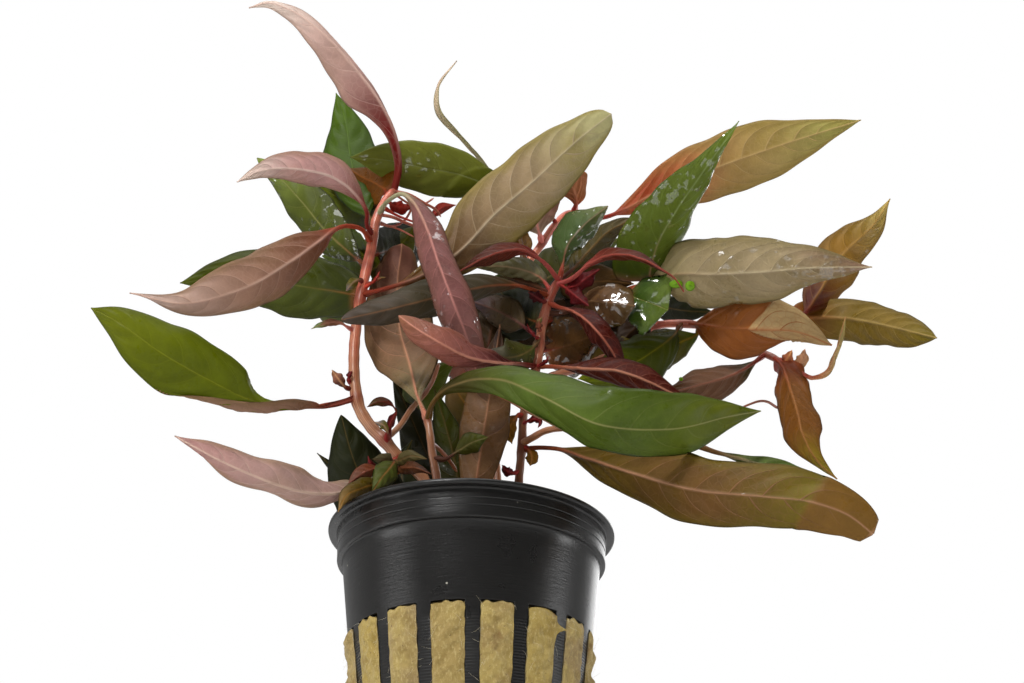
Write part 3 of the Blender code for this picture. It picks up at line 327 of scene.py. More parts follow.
# The fifty-six small blades that have no solids of their own
MORE_LEAVES = {
    "olive_behind_pink": blade("left", 11, "olive_brown", ((388, 197), (384, 189, 4), (373, 182, 8),
        (360, 176, 11), (348, 168, 12))),
    "dark_under_pink": blade("left", 8.5, "green_deep", ((377, 222), (368, 214, 10), (352, 205, 14),
        (332, 194, 17), (311, 183, 19)), shows="top", tint=(1, 1, 0.6)),
    "dark_right_of_stem": blade("left", 13, "green_deep", ((366, 274), (380, 264, 9), (393, 253, 13),
        (406, 239, 15), (417, 224, 16)), stalk=0.08, shows="top", tint=(1, 0.9, 0.5)),
    "dark_left_of_stem": blade("left", 12, "green_deep", ((372, 246), (362, 252, 8), (350, 256, 14),
        (338, 258, 20), (322, 256, 26)), shows="top", tint=(0.9, 0.95, 0.6)),
    "brown_curl": blade("middle", 8.5, "olive_grey", ((537, 339), (528, 330, 3), (518, 322, 5),
        (504, 314, 7), (488, 307, 9), (468, 300, 10)), left=(40, 35, 40), right=(35, 20, 30), stalk=0.24,
        tint=(0.9, 0.8, 1.4)),
    "dark_centre_tall": blade("back", 13, "brown_dark", ((494, 372), (489, 355, 15), (490, 335, 14),
        (498, 310, 13), (512, 288, 12)), stalk=0.06),
    "dark_centre_low": blade("back", 12, "brown_dark", ((495, 362), (510, 350, 19), (527, 338, 21),
        (545, 330, 22), (562, 322, 22)), stalk=0.06),
    "small_green_mid": blade("middle", 8.5, "green_olive", ((539, 338), (530, 350, -3), (518, 356, -5),
        (504, 357, -7), (488, 350, -8)), shows="top", tint=(0.7, 0.85, 1.2), wet=0.3),
    "brown_upper_mid": blade("middle", 10, "brown_olive", ((544, 320), (556, 321, 6), (570, 319, 9),
        (584, 319, 11), (600, 322, 12)), stalk=0.08),
    "brown_lower_mid": blade("middle", 14, "brown_sheen", ((538, 352), (550, 350, 3), (566, 346, 5),
        (584, 339, 7), (604, 332, 8)), stalk=0.06, wet=0.7),
    "crimson_young": blade("middle", 3.8, "crimson_bright", ((559, 281), (567, 288, -4), (577, 285, -6),
        (588, 277, -7), (600, 269, -8)), stalk=0.22, wave=0.5),
    "crimson_young_low": blade("middle", 3.4, "crimson_bright", ((559, 283), (567, 289, -5), (577, 297, -7),
        (589, 306, -8)), stalk=0.3, wave=0.5),
    "crimson_under_slate": blade("middle", 2.6, "crimson_bright", ((548, 303), (541, 300, -3),
        (535, 296, -4), (528, 292, -4)), tint=(0.8, 1, 1), wave=0.3),
    "brown_triangle": blade("right_upper", 7, "brown_olive", ((655, 314), (648, 318, 5), (638, 326, 6),
        (628, 335, 6), (618, 346, 6)), stalk=0.06),
    "dark_behind_khaki": blade("right_upper", 6, "green_black", ((653, 302), (668, 308, 12), (688, 311, 15),
        (714, 312, 16)), stalk=0.06, shows="top"),
    "green_low_mid": blade("right", 9, "green_olive", ((700, 327), (697, 334, 7), (683, 341, 6),
        (660, 350, 4), (628, 364, 3)), stalk=0.06, shows="top", tint=(0.85, 1, 0.3)),
    "green_behind_crimson": blade("right", 10, "green_olive", ((645, 334), (634, 346, 6), (617, 359, 8),
        (601, 369, 9), (582, 378, 9)), stalk=0.06, shows="top"),
    "dark_behind_bend": blade("right", 9, "brown_dark", ((640, 337), (632, 328, 10), (625, 316, 12),
        (619, 302, 13), (616, 288, 13)), stalk=0.06),
    "dark_behind_arch": blade("middle", 9, "brown", ((560, 281), (574, 282, 7), (590, 282, 9),
        (608, 281, 10), (634, 284, 10)), stalk=0.08, shows="top", tint=(0.8, 0.8, 0.6)),
    "triangle_right": blade("right_low", 2.8, "brown_pink", ((789, 366), (797, 366, 3), (802, 360, 2),
        (805, 349, 1)), tint=(1.15, 1.1, 1)),
    "red_by_fold": blade("right_low", 2.6, "red_brown", ((774, 359), (782, 364, 4), (788, 358, 2),
        (792, 350, 1)), tint=(1.3, 1.3, 1)),
    "olive_bud": blade("middle", 3.2, "olive_brown", ((524, 414), (516, 417, -1), (509, 429, -2),
        (512, 444, -2)), tint=(1.1, 1.3, 1.4)),
    "round_olive": blade("middle", 2.8, "olive_brown", ((523, 446), (529, 450, 1), (532, 457, 1),
        (530, 466, 1)), tint=(1.1, 1.3, 1.8)),
    "green_before_brown": blade("front", 4.6, "green", ((433, 458), (446, 459, -14), (458, 451, -15),
        (471, 443, -16), (488, 437, -16)), stalk=0.35, shows="top"),
    "bud_leaf_left": blade("left", 2.5, "red_brown", ((352, 390), (347, 388, -4), (340, 381, -5),
        (332, 370, -5)), stalk=0.15, tint=(0.9, 0.95, 0.8)),
    "bud_leaf_left_red": blade("left", 1.3, "crimson_bright", ((352, 387), (349, 381, -4), (349, 376, -5),
        (352, 371, -5)), stalk=0.2),
    "thin_leaf_left": blade("left", 1.6, "brown_red", ((354, 331), (349, 328, -4), (340, 323, -5),
        (327, 323, -6), (311, 329, -6)), stalk=0.15, tint=(1.3, 1.7, 2)),
    "knot_leaf": blade("left", 2.2, "olive_grey", ((364, 285), (360, 280, -4), (354, 282, -5),
        (346, 291, -5)), tint=(1.5, 1.6, 2.5)),
    "knot_red": blade("left", 0.9, "red_young", ((366, 290), (370, 284, -4), (376, 279, -5),
        (380, 271, -5)), stalk=0.2),
    "knot_red_two": blade("left", 0.9, "brown_red", ((366, 287), (372, 282, -4), (379, 279, -5),
        (386, 277, -5)), stalk=0.2),
    "low_red": blade("left", 1.8, "crimson_bright", ((389, 446), (386, 437, -5), (390, 424, -6),
        (396, 411, -7)), stalk=0.25),
    "low_arc": blade("left", 2.0, "brown_red", ((389, 445), (391, 425, -6), (396, 411, -7), (389, 403, -8),
        (378, 402, -8), (367, 407, -8)), stalk=0.52, tint=(0.7, 0.5, 0.4)),
    "low_grey": blade("left", 1.9, "olive_grey", ((389, 444), (387, 431, -6), (383, 425, -7),
        (375, 422, -7)), stalk=0.3, tint=(1.5, 1.6, 2.5)),
    "rim_brown": blade("left", 3.6, "rust", ((399, 462), (388, 468, -7), (374, 469, -11), (362, 474, -13),
        (348, 484, -14)), stalk=0.5, tint=(0.75, 0.65, 0.8)),
    "rim_red_bud": blade("left", 1.6, "crimson_bright", ((398, 463), (386, 469, -7), (375, 468, -10),
        (370, 463, -11), (368, 456, -11)), stalk=0.5),
    "rim_grey": blade("left", 3.2, "grey_green", ((396, 459), (392, 462, -6), (384, 460, -8),
        (372, 459, -9)), stalk=0.15, shows="top", tint=(0.8, 0.75, 0.7)),
    "rim_green_right": blade("left", 2.8, "grey_green", ((393, 461), (400, 460, -8), (411, 456, -10),
        (427, 459, -11)), shows="top", tint=(0.8, 0.75, 0.6)),
    "rim_brown_right": blade("left", 2.8, "brown", ((398, 466), (405, 468, -9), (416, 468, -11),
        (431, 474, -12)), tint=(0.75, 0.6, 0.5)),
    "rim_green": blade("left", 5.2, "green_orange_rib", ((393, 462), (388, 470, -10), (380, 480, -12),
        (371, 494, -12)), shows="top"),
    "rim_olive_outside": blade("left", 4.0, "green_olive", ((404, 471), (385, 481, -8), (362, 488, -15),
        (346, 496, -18), (338, 512, -19)), stalk=0.3, shows="top"),
    "tip_behind_dark": blade((-14.0, 9.0), 6, "green_black", ((372, 490, 9), (352, 480, 10), (334, 468, 11),
        (317, 453, 11)), shows="top"),
    "crimson_curl": blade("middle", 1.5, "crimson_bright", ((524, 424), (529, 421, -2), (535, 419, -3),
        (540, 421, -3), (538, 428, -3)), stalk=0.2),
    "crimson_by_rim": blade("middle", 2.2, "crimson_bright", ((520, 470), (513, 473, 1), (507, 471, 0),
        (502, 465, 0)), stalk=0.15),
    "bud_mid": blade("middle", 1.6, "brown_red", ((543, 331), (539, 327, -3), (539, 322, -3),
        (542, 317, -3)), stalk=0.15),
    "bud_mid_left": blade("middle", 1.0, "crimson_bright", ((538, 340), (533, 334, -3), (529, 329, -3),
        (527, 324, -3)), stalk=0.2),
    "bud_mid_low": blade("middle", 1.0, "crimson_bright", ((537, 367), (542, 364, -3), (546, 361, -4),
        (549, 356, -4)), stalk=0.2),
    "top_crimson": blade("left", 3.0, "red_young", ((389, 200), (394, 206, 2), (402, 208, 3),
        (414, 207, 4)), wave=0.3),
    "top_triangle": blade("left", 2.4, "red_young", ((391, 211), (403, 218, 3), (418, 222, 5),
        (434, 214, 6), (444, 207, 7), (456, 205, 8)), stalk=0.6),
    "hook_back": blade("back", 1.2, "crimson_bright", ((557, 224), (553, 219, 13), (549, 214, 12),
        (547, 208, 12)), stalk=0.2),
    "orange_centre": blade("middle", 3.4, "brown_red", ((553, 294), (538, 287, 3), (520, 281, 6),
        (503, 277, 8), (486, 279, 9)), stalk=0.15, tint=(0.6, 0.7, 0.6)),
    "olive_behind_mauve": blade("back", 5.5, "olive_brown", ((530, 260), (526, 250, 18), (519, 240, 19),
        (512, 230, 19), (508, 218, 19)), stalk=0.15, tint=(1, 1.2, 1.6)),
    "dark_below_centre": blade("back", 12, "green_olive", ((493, 440), (484, 428, 19), (472, 412, 20),
        (460, 396, 20), (450, 378, 19)), stalk=0.05, shows="top"),
    "dark_plug_right": blade("middle", 14, "green_black", ((550, 318), (566, 306, 15), (592, 287, 20),
        (618, 266, 22), (648, 242, 22)), shows="top"),
    "dark_plug_low": blade("middle", 13, "brown_dark", ((545, 350), (566, 342, 14), (602, 322, 18),
        (632, 302, 20), (660, 284, 20)), shows="top"),
    "dark_by_rim": blade((-13.0, 8.0), 9, "green_black", ((402, 484, 9), (402, 470, 10), (405, 456, 11),
        (412, 440, 12)), shows="top"),
    "dark_by_branch": blade("left_branch", 9, "green_deep", ((412, 408), (420, 396, 10), (430, 384, 12),
        (441, 372, 13), (455, 362, 13)), stalk=0.05, shows="top"),
}

# Bare stalks and side shoots: a stem, a width in millimetres at each end, a start and picks
STALKS = (
    ("left", (0.75, 0.6), ((383, 216), (392, 217, 0), (404, 222, 2), (419, 228, 4))),
    ("left", (0.55, 0.5), ((381, 222), (394, 226, 3), (404, 221, 4), (410, 212, 4), (413, 203, 4))),
    ("left", (0.5, 0.35), ((380, 225), (398, 229, 2), (414, 237, 3))),
    ("left", (0.8, 0.5), ((394, 191), (407, 194, -1), (424, 203, 1), (437, 211, 3), (441, 217, 4))),
    ("left", (0.5, 0.4), ((392, 193), (418, 206, 3), (428, 202, 4), (434, 198, 5))),
    ("front", (0.8, 0.7), ((432, 442), (440, 450, -9), (449, 460, -7), (457, 472, -5))),
    ("left", (0.7, 0.5), ((397, 464), (386, 470, -8), (372, 469, -11), (362, 473, -13))),
    ("right_low", (0.7, 0.4), ((788, 366), (790, 390, 4), (780, 408, 3), (768, 402, 0), (748, 405, -6),
     (734, 412, -9))),
)

# The blade that a disc lies on, its pick, and half its width and height in millimetres
DISCS = (
    ("khaki_right", 676, 284, 1.4, 0.85),
    ("khaki_right", 690, 286, 1.0, 1.05),
    ("brown_low_right", 681, 379, 0.45, 0.4),
)
DISC_THICKNESS = 0.22

# The colours of each skin, as red, green and blue of 0 to 255: blade, base, tip, rib and stalk
SKINS = {
    "crown": ((202, 164, 152), (98, 10, 4), (228, 210, 196), (222, 188, 172), (110, 26, 16)),
    "dusty_pink": ((182, 138, 132), (100, 30, 20), (210, 190, 176), (216, 188, 174), (130, 40, 32)),
    "rose_tan": ((156, 120, 100), (100, 48, 22), (196, 170, 158), (202, 165, 146), (155, 60, 35)),
    "khaki": ((155, 132, 100), (88, 52, 12), (175, 168, 118), (200, 182, 150), (125, 45, 25)),
    "khaki_mauve": ((156, 138, 105), (168, 152, 106), (138, 106, 86), (200, 182, 148), (160, 124, 78)),
    "rose_dark": ((122, 78, 74), (112, 84, 52), (130, 84, 76), (194, 130, 120), (162, 158, 120)),
    "red_brown": ((160, 96, 90), (58, 12, 8), (138, 88, 64), (208, 142, 118), (98, 30, 20)),
    "slate": ((68, 60, 44), (62, 38, 10), (84, 72, 64), (132, 90, 58), (132, 58, 30)),
    "brown": ((108, 78, 52), (104, 74, 46), (56, 32, 18), (155, 110, 80), (140, 82, 54)),
    "brown_wet": ((98, 68, 40), (28, 36, 18), (88, 68, 38), (136, 100, 66), (80, 45, 30)),
    "brown_pink": ((158, 122, 100), (130, 80, 58), (160, 120, 100), (176, 132, 108), (128, 58, 44)),
    "mauve": ((122, 90, 66), (138, 126, 90), (118, 76, 62), (206, 148, 114), (196, 122, 96)),
    "pink_low": ((180, 144, 135), (110, 128, 75), (170, 125, 118), (216, 186, 166), (172, 162, 126)),
    "olive_under": ((102, 70, 36), (80, 62, 16), (114, 106, 26), (172, 128, 98), (112, 52, 24)),
    "olive_dark": ((40, 40, 4), (18, 8, 2), (66, 74, 4), (78, 62, 22), (60, 26, 20)),
    "olive_yellow": ((128, 104, 42), (114, 60, 12), (112, 96, 26), (178, 150, 88), (150, 78, 30)),
    "olive_grey": ((70, 60, 14), (30, 30, 6), (94, 80, 55), (114, 86, 42), (84, 36, 20)),
    "rust_olive": ((174, 146, 88), (158, 64, 36), (152, 148, 76), (204, 170, 114), (152, 48, 32)),
    "rust": ((154, 90, 42), (140, 76, 32), (150, 120, 78), (172, 106, 64), (150, 68, 38)),
    "rust_hanging": ((124, 76, 28), (116, 50, 20), (134, 118, 32), (162, 108, 60), (148, 54, 34)),
    "amber": ((138, 100, 32), (72, 12, 4), (190, 168, 92), (174, 132, 66), (94, 26, 14)),
    "orange": ((185, 115, 75), (180, 76, 48), (198, 168, 108), (200, 130, 90), (170, 56, 44)),
    "crimson": ((68, 18, 9), (56, 20, 12), (66, 14, 9), (184, 106, 84), (132, 54, 36)),
    "red_arch": ((84, 30, 12), (150, 66, 60), (60, 26, 8), (150, 70, 58), (178, 84, 78)),
    "red_to_green": ((176, 150, 104), (160, 52, 38), (130, 124, 60), (184, 110, 80), (168, 60, 50)),
    "thin_curl": ((150, 142, 98), (204, 150, 138), (214, 190, 162), (196, 160, 140), (196, 120, 108)),
    "olive_top": ((96, 84, 46), (92, 72, 42), (104, 88, 50), (150, 120, 80), (140, 60, 48)),
    "green": ((58, 58, 12), (20, 16, 4), (70, 76, 22), (120, 106, 64), (70, 38, 26)),
    "green_front": ((85, 102, 38), (60, 50, 14), (98, 100, 16), (162, 154, 112), (106, 74, 40)),
    "green_bright": ((86, 90, 14), (70, 74, 12), (125, 150, 8), (124, 128, 74), (122, 90, 60)),
    "green_lime": ((92, 101, 0), (86, 96, 4), (98, 104, 4), (126, 128, 24), (140, 60, 42)),
    "green_deep": ((78, 88, 20), (50, 58, 6), (94, 106, 26), (114, 122, 56), (128, 80, 44)),
    "green_grey": ((74, 82, 22), (42, 46, 6), (130, 144, 66), (136, 132, 76), (110, 58, 30)),
    "green_black": ((28, 31, 9), (42, 36, 8), (32, 36, 8), (86, 70, 32), (122, 52, 26)),
    "green_wet": ((68, 86, 44), (52, 66, 28), (100, 106, 60), (160, 136, 108), (158, 70, 52)),
    "grey_green": ((106, 100, 70), (60, 46, 18), (108, 104, 74), (150, 122, 92), (150, 60, 50)),
    "olive_brown": ((110, 62, 8), (92, 28, 4), (98, 60, 10), (152, 86, 30), (130, 36, 22)),
    "brown_dark": ((52, 36, 14), (60, 40, 14), (60, 44, 28), (84, 56, 38), (96, 40, 34)),
    "brown_olive": ((40, 22, 4), (150, 76, 34), (44, 26, 2), (66, 42, 18), (155, 50, 38)),
    "brown_sheen": ((90, 60, 26), (150, 95, 56), (36, 18, 4), (112, 78, 42), (140, 50, 38)),
    "brown_red": ((102, 52, 34), (120, 76, 46), (118, 138, 70), (134, 70, 48), (140, 60, 46)),
    "red_young": ((142, 34, 22), (150, 58, 44), (140, 52, 40), (165, 60, 48), (200, 70, 52)),
    "crimson_bright": ((78, 8, 12), (92, 20, 22), (72, 10, 10), (136, 42, 42), (148, 46, 42)),
    "green_olive": ((84, 68, 14), (80, 80, 12), (160, 124, 76), (158, 110, 42), (138, 84, 36)),
    "brown_low": ((102, 70, 48), (66, 64, 26), (80, 50, 28), (150, 98, 78), (150, 66, 52)),
    "green_orange_rib": ((68, 75, 26), (82, 54, 34), (100, 108, 50), (162, 104, 52), (146, 52, 45)),
}
# How far the colour of the base reaches along a blade, where that isn't USUAL_REACH
REACHES = {
    "crown": 0.68, "dusty_pink": 0.52, "rose_tan": 0.7, "khaki": 0.62, "rose_dark": 0.3, "red_brown": 0.85,
    "mauve": 0.55, "olive_under": 0.7, "rust_olive": 0.7, "amber": 0.62, "red_arch": 0.55,
    "red_to_green": 0.7,
}
USUAL_REACH = 0.36
# The colours of margins that stand out, and of parts that are folded over
MARGINS = {"khaki": (132, 116, 48), "crown": (172, 138, 120), "olive_under": (98, 82, 22)}
FOLDED = {"olive_under": (114, 82, 34), "green_bright": (104, 108, 36), "rust": (178, 148, 102)}
# The margin's colour as a share of the blade's, and the side veins' place between blade and rib
MARGIN_SHADE = (0.82, 0.82, 0.68)
VEIN_SHARE = 0.42
# How far blotches of the margin's colour hide the blade's
BLOTCHES = 0.45
# The slots of the small blades, by skin, where that isn't leaf_mauve
SMALL_SLOTS = {"crimson_bright": "leaf_crimson", "rust": "leaf_rust", "orange": "leaf_rust",
               "olive_brown": "leaf_olive", "olive_grey": "leaf_olive", "brown_olive": "leaf_olive"}
SMALL_SLOTS |= {skin: "leaf_green" for skin in SKINS if skin.startswith("green")}


def place(across, down, depth):
    """The point, in millimetres, seen at a pick of the front view and lying depth behind the axis."""
    ray = (across - VIEW_CENTRE[0]) * VIEW_RIGHT + (VIEW_CENTRE[1] - down) * VIEW_UP
    ray = ray + VIEW_FOCAL * VIEW_FORWARD
    return VIEW_PLACE + ray * (depth - VIEW_PLACE[1]) / ray[1]


def seen_at(points):
    """The picks of the front view at which points, in millimetres, are seen."""
    offset = np.atleast_2d(points) - VIEW_PLACE
    scale = VIEW_FOCAL / (offset @ VIEW_FORWARD)
    across = VIEW_CENTRE[0] + offset @ VIEW_RIGHT * scale
    down = VIEW_CENTRE[1] - offset @ VIEW_UP * scale
    return np.stack((across, down), axis=1)


def cubic(knots, values, where):
    """Cubic pieces through values at knots, with each knot's slope taken from its neighbours."""
    slopes = np.gradient(values, knots, axis=0)
    at = np.clip(np.searchsorted(knots, where, side="right") - 1, 0, len(knots) - 2)
    width = (knots[at + 1] - knots[at])[:, None]
    u = ((where - knots[at]) / width[:, 0])[:, None]
    return (
        (2 * u**3 - 3 * u**2 + 1) * values[at]
        + (u**3 - 2 * u**2 + u) * width * slopes[at]
        + (3 * u**2 - 2 * u**3) * values[at + 1]
        + (u**3 - u**2) * width * slopes[at + 1]
    )


def length_along(line):
    return np.concatenate(([0], np.cumsum(np.linalg.norm(np.diff(line, axis=0), axis=1))))


def read_line(line, lengths, where):
    """The points of a line at some lengths along it."""
    return np.stack([np.interp(where, lengths, line[:, k]) for k in range(3)], axis=1)


def smooth_line(points, count=LINE_STEPS):
    """A curve through the points, as cubic pieces, sampled at even steps along its length."""
    points = np.asarray(points, float)
    knots = length_along(points)
    curve = cubic(knots, points, np.linspace(0, knots[-1], count))
    lengths = length_along(curve)
    return read_line(curve, lengths, np.linspace(0, lengths[-1], count))


def spread(values, t):
    """Values given at even steps from 0 to 1, read at t from smooth pieces."""
    values = np.asarray(values, float)[:, None]
    return cubic(np.linspace(0, 1, len(values)), values, np.clip(t, 0, 1))[:, 0]


def unit(vectors):
    return vectors / np.maximum(np.linalg.norm(vectors, axis=-1, keepdims=True), 1e-12)


def ease(value, low, high):
    """0 below low, 1 above high, and 3x^2 - 2x^3 between."""
    x = np.clip((value - low) / (high - low), 0, 1)
    return x * x * (3 - 2 * x)


def ripples(points, size, seed, waves=20):
    """Smooth noise of about -1 to 1: a sum of sine waves in random directions, each about size long."""
    rng = np.random.default_rng(seed)
    directions = unit(rng.normal(size=(waves, 3))) * rng.uniform(0.6, 1.7, (waves, 1))
    turns = np.asarray(points) @ directions.T * (2 * math.pi / size) + rng.uniform(0, 2 * math.pi, waves)
    return np.sin(turns).sum(-1) / math.sqrt(waves)


def around_axis(radius, angle, height):
    """Points at a radius and an angle round the pot's axis, at a height."""
    x, y = radius * np.cos(angle), radius * np.sin(angle)
    return np.stack(np.broadcast_arrays(x, y, height), -1)


def grid_faces(rows, columns, wrap=True):
    """Quads between each row of points and the next, turning from row to column."""
    r = np.arange(rows - 1)[:, None]
    c = np.arange(columns if wrap else columns - 1)[None, :]
    n = (c + 1) % columns
    return np.stack((r * columns + c, (r + 1) * columns + c, (r + 1) * columns + n, r * columns + n), -1)


def fan(pole, first, columns, outward):
    """Triangles from a pole to the ring that starts at first."""
    c = np.arange(columns)
    n = (c + 1) % columns
    edge = (first + n, first + c) if outward else (first + c, first + n)
    return np.stack((np.full(columns, pole), *edge), -1)


def closed_grid(rows, columns):
    """The faces of a row of rings, closed by the two poles that follow them."""
    count = rows * columns
    return [grid_faces(rows, columns), fan(count, 0, columns, True),
            fan(count + 1, count - columns, columns, False)]


def joined(meshes):
    """One mesh of many, each given as points and blocks of faces: its quads come before its triangles."""
    starts = np.cumsum([0] + [len(points) for points, _ in meshes])
    faces = [part.reshape(-1, part.shape[-1]) + start
             for (_, blocks), start in zip(meshes, starts) for part in blocks]
    sizes = sorted({part.shape[-1] for part in faces}, reverse=True)
    return (np.concatenate([points for points, _ in meshes]),
            [np.concatenate([part for part in faces if part.shape[-1] == size]) for size in sizes])


def signed_volume(points, faces):
    """Six times the volume inside a closed mesh, below zero when its faces point inwards."""
    total = 0.0
    for part in faces:
        corner = points[part]
        for k in range(1, corner.shape[1] - 1):
            total += np.einsum("ij,ij->", corner[:, 0], np.cross(corner[:, k], corner[:, k + 1]))
    return total


def piece(name, points, faces, finishes, slots=None, uv=None, marks=None):
    """An object of points in millimetres and blocks of faces, smooth, with its faces pointing out."""
    points = np.asarray(points, float)
    faces = [part.reshape(-1, part.shape[-1]) for part in faces]
    if signed_volume(points, faces) < 0:
        faces = [part[:, ::-1] for part in faces]
    mesh = bpy.data.meshes.new(name)
    mesh.from_pydata((points * MM).tolist(), [], [face for part in faces for face in part.tolist()])
    for finish in finishes:
        mesh.materials.append(finish)
    if slots is not None:
        mesh.polygons.foreach_set("material_index", np.asarray(slots, np.int32))
    mesh.shade_smooth()
    if uv is not None:
        corner = np.empty(len(mesh.loops), np.int32)
        mesh.loops.foreach_get("vertex_index", corner)
        layer = mesh.uv_layers.new(name="UVMap")
        layer.data.foreach_set("uv", np.asarray(uv, np.float32)[corner].ravel())
    for key, values in (marks or {}).items():
        attribute = mesh.attributes.new(key, "FLOAT", "POINT")
        attribute.data.foreach_set("value", np.asarray(values, np.float32).ravel())
    mesh.update()
    made = bpy.data.objects.new(name, mesh)
    bpy.context.scene.collection.objects.link(made)
    return made


def frames_along(line):
    """Unit tangents, and two unit directions across, along a line."""
    tangents = unit(np.gradient(line, axis=0))
    left = unit(np.cross(tangents, unit(line - VIEW_PLACE)))
    return tangents, left, np.cross(left, tangents)


def tube(line, radii, sides):
    """A round tube: circles of the radii across a line, closed by a pole at each end."""
    _, left, away = frames_along(line)
    turns = 2 * math.pi * np.arange(sides) / sides
    across = np.cos(turns)[None, :, None] * left[:, None] + np.sin(turns)[None, :, None] * away[:, None]
    rings = line[:, None] + np.asarray(radii)[:, None, None] * across
    return np.concatenate((rings.reshape(-1, 3), line[:1], line[-1:])), closed_grid(len(line), sides)


def first_clear(line, stem_line, room):
    """The step from which a line that starts at a stem's middle is room away from it."""
    distance = np.linalg.norm(line[:, None] - stem_line[None, ::4], axis=2).min(axis=1)
    near = np.nonzero(distance < room)[0]
    return near[-1] + 1 if len(near) else 0


# Each stem's middle line and radii, once its route is worked out
stem_lines = {}


def start_on(stem_name, across, down):
    """The step of a stem's middle line that is seen nearest to a pick."""
    return int(np.argmin(np.linalg.norm(seen_at(stem_lines[stem_name][0]) - (across, down), axis=1)))


def stem_route(stem):
    """A stem's middle line and its radii, from its foot in the plug or from its parent's middle."""
    route = [place(*pick) for pick in stem["route"]]
    if "root" in stem:
        foot = WOOL_TOP - SOCKET_DEPTH
        route = [np.array((*stem["root"], foot)), np.array((*stem["root"], WOOL_TOP + 1.0))] + route
    else:
        parent = stem_lines[stem["on"]][0]
        route[0] = parent[start_on(stem["on"], *stem["route"][0][:2])]
    line = smooth_line(route)
    return line, spread(stem["width"], np.linspace(0, 1, len(line))) / 2


def leaf_route(leaf):
    """A leaf's midrib line, and the step at which its stalk comes clear of what carries it."""
    if "root" in leaf:
        low = [np.array((*leaf["root"], WOOL_TOP - 4.0)), np.array((*leaf["root"], WOOL_TOP + GAP))]
        line = smooth_line(low + [place(*pick) for pick in leaf["route"]])
        return line, int(np.argmin(abs(line[:100, 2] - WOOL_TOP)))
    parent, radii = stem_lines[leaf["on"]]
    start = start_on(leaf["on"], *leaf["route"][0])
    line = smooth_line([parent[start]] + [place(*pick) for pick in leaf["route"][1:]])
    return line, first_clear(line, parent, radii[start] + GAP)


def leaf_rows(leaf, along):
    """A leaf's rows: midrib points, two directions across, and shares of the way to the tip.

    A few rows run inside the stem, at share 0, before the stalk comes clear of it. With them go the
    point of the tip and the leaf's length.
    """
    line, clear = leaf_route(leaf)
    tangents, left, away = frames_along(line)
    inside = np.linspace(0, clear, 5)[:-1] if clear else np.zeros(0)
    steps = np.concatenate((inside, np.linspace(clear, len(line) - 1, along)))
    low = np.floor(steps).astype(int)
    high = np.minimum(low + 1, len(line) - 1)
    part = (steps - low)[:, None]
    middle, left, away = (values[low] * (1 - part) + values[high] * part for values in (line, left, away))
    t = np.clip((steps - clear) / (len(line) - 1 - clear), 0, 1)
    return middle, left, away, t, line[-1:] + 0.02 * tangents[-1:], length_along(line)[-1]


def blade_share(leaf, t):
    """Half-width as a share of the widest: read from shares, or sin(pi u^k) to a power from base to tip.

    shares run over the whole route, its stalk included, and u over the blade alone.
    """
    if "shares" in leaf:
        return np.clip(spread(leaf["shares"], t), 0, 1)
    u = np.clip((t - leaf["stalk"]) / (1 - leaf["stalk"]), 0, 1)
    bend = math.log(0.5) / math.log(leaf["peak"])
    return np.clip(np.sin(np.pi * u**bend), 0, 1) ** np.interp(u, (0, 1), leaf["fullness"])


def half_section(angle, q):
    """Across and away shares of an arc, half a blade wide, that leaves the midrib at angle - CURL / 2."""
    start = angle - CURL / 2
    end = start + CURL * q
    return (np.sin(end) - np.sin(start)) / CURL, (np.cos(start) - np.cos(end)) / CURL


def rolled_section(bend, turn, at, q, steps=240):
    """Across and away shares where half a blade rolls at a share of its width.

    They are the sums of the cosine and of the sine of an angle that eases from bend by turn at that share.
    """
    fine = np.linspace(0, 1, steps)
    angle = bend[:, None] + turn[:, None] * ease(fine[None, :] - at[:, None], -0.07, 0.07)
    column = np.round(q * (steps - 1)).astype(int)
    none = np.zeros((len(at), 1))
    sums = [np.cumsum(part, axis=1)[:, :-1] for part in (np.cos(angle), np.sin(angle))]
    return [np.concatenate((none, part), axis=1)[:, column] / steps for part in sums]


def blade_section(leaf, t, q, side):
    """Across and away shares of both halves of a blade, with the roll of one margin where it has one."""
    bends = [np.radians(spread(leaf[half], t)) for half in ("right", "left")]
    bend = np.where(side[None, :] >= 0, bends[1][:, None], bends[0][:, None])
    shares = half_section(bend, q[None, :])
    if "roll_at" not in leaf:
        return shares
    rolling = leaf.get("roll_side", 1)
    turn = np.radians(spread(leaf["roll_by"], t))
    rolled = rolled_section(bends[rolling > 0], turn, spread(leaf["roll_at"], t), q)
    return [np.where(side[None, :] * rolling > 0, new, old) for new, old in zip(rolled, shares)]


def vein_phase(t, q, side, slope, count, stalk, seed):
    """Rises by one from side vein to side vein, whose lines bend towards the tip near the margin."""
    u = (t - stalk) / (1 - stalk)
    bent = u - slope * (0.4 * q + 0.85 * q**4)
    uneven = 0.12 * np.sin(9.7 * u + seed) + 0.05 * np.sin(23 * u + 2 * seed)
    return count * bent + 0.42 * (side < 0) + uneven


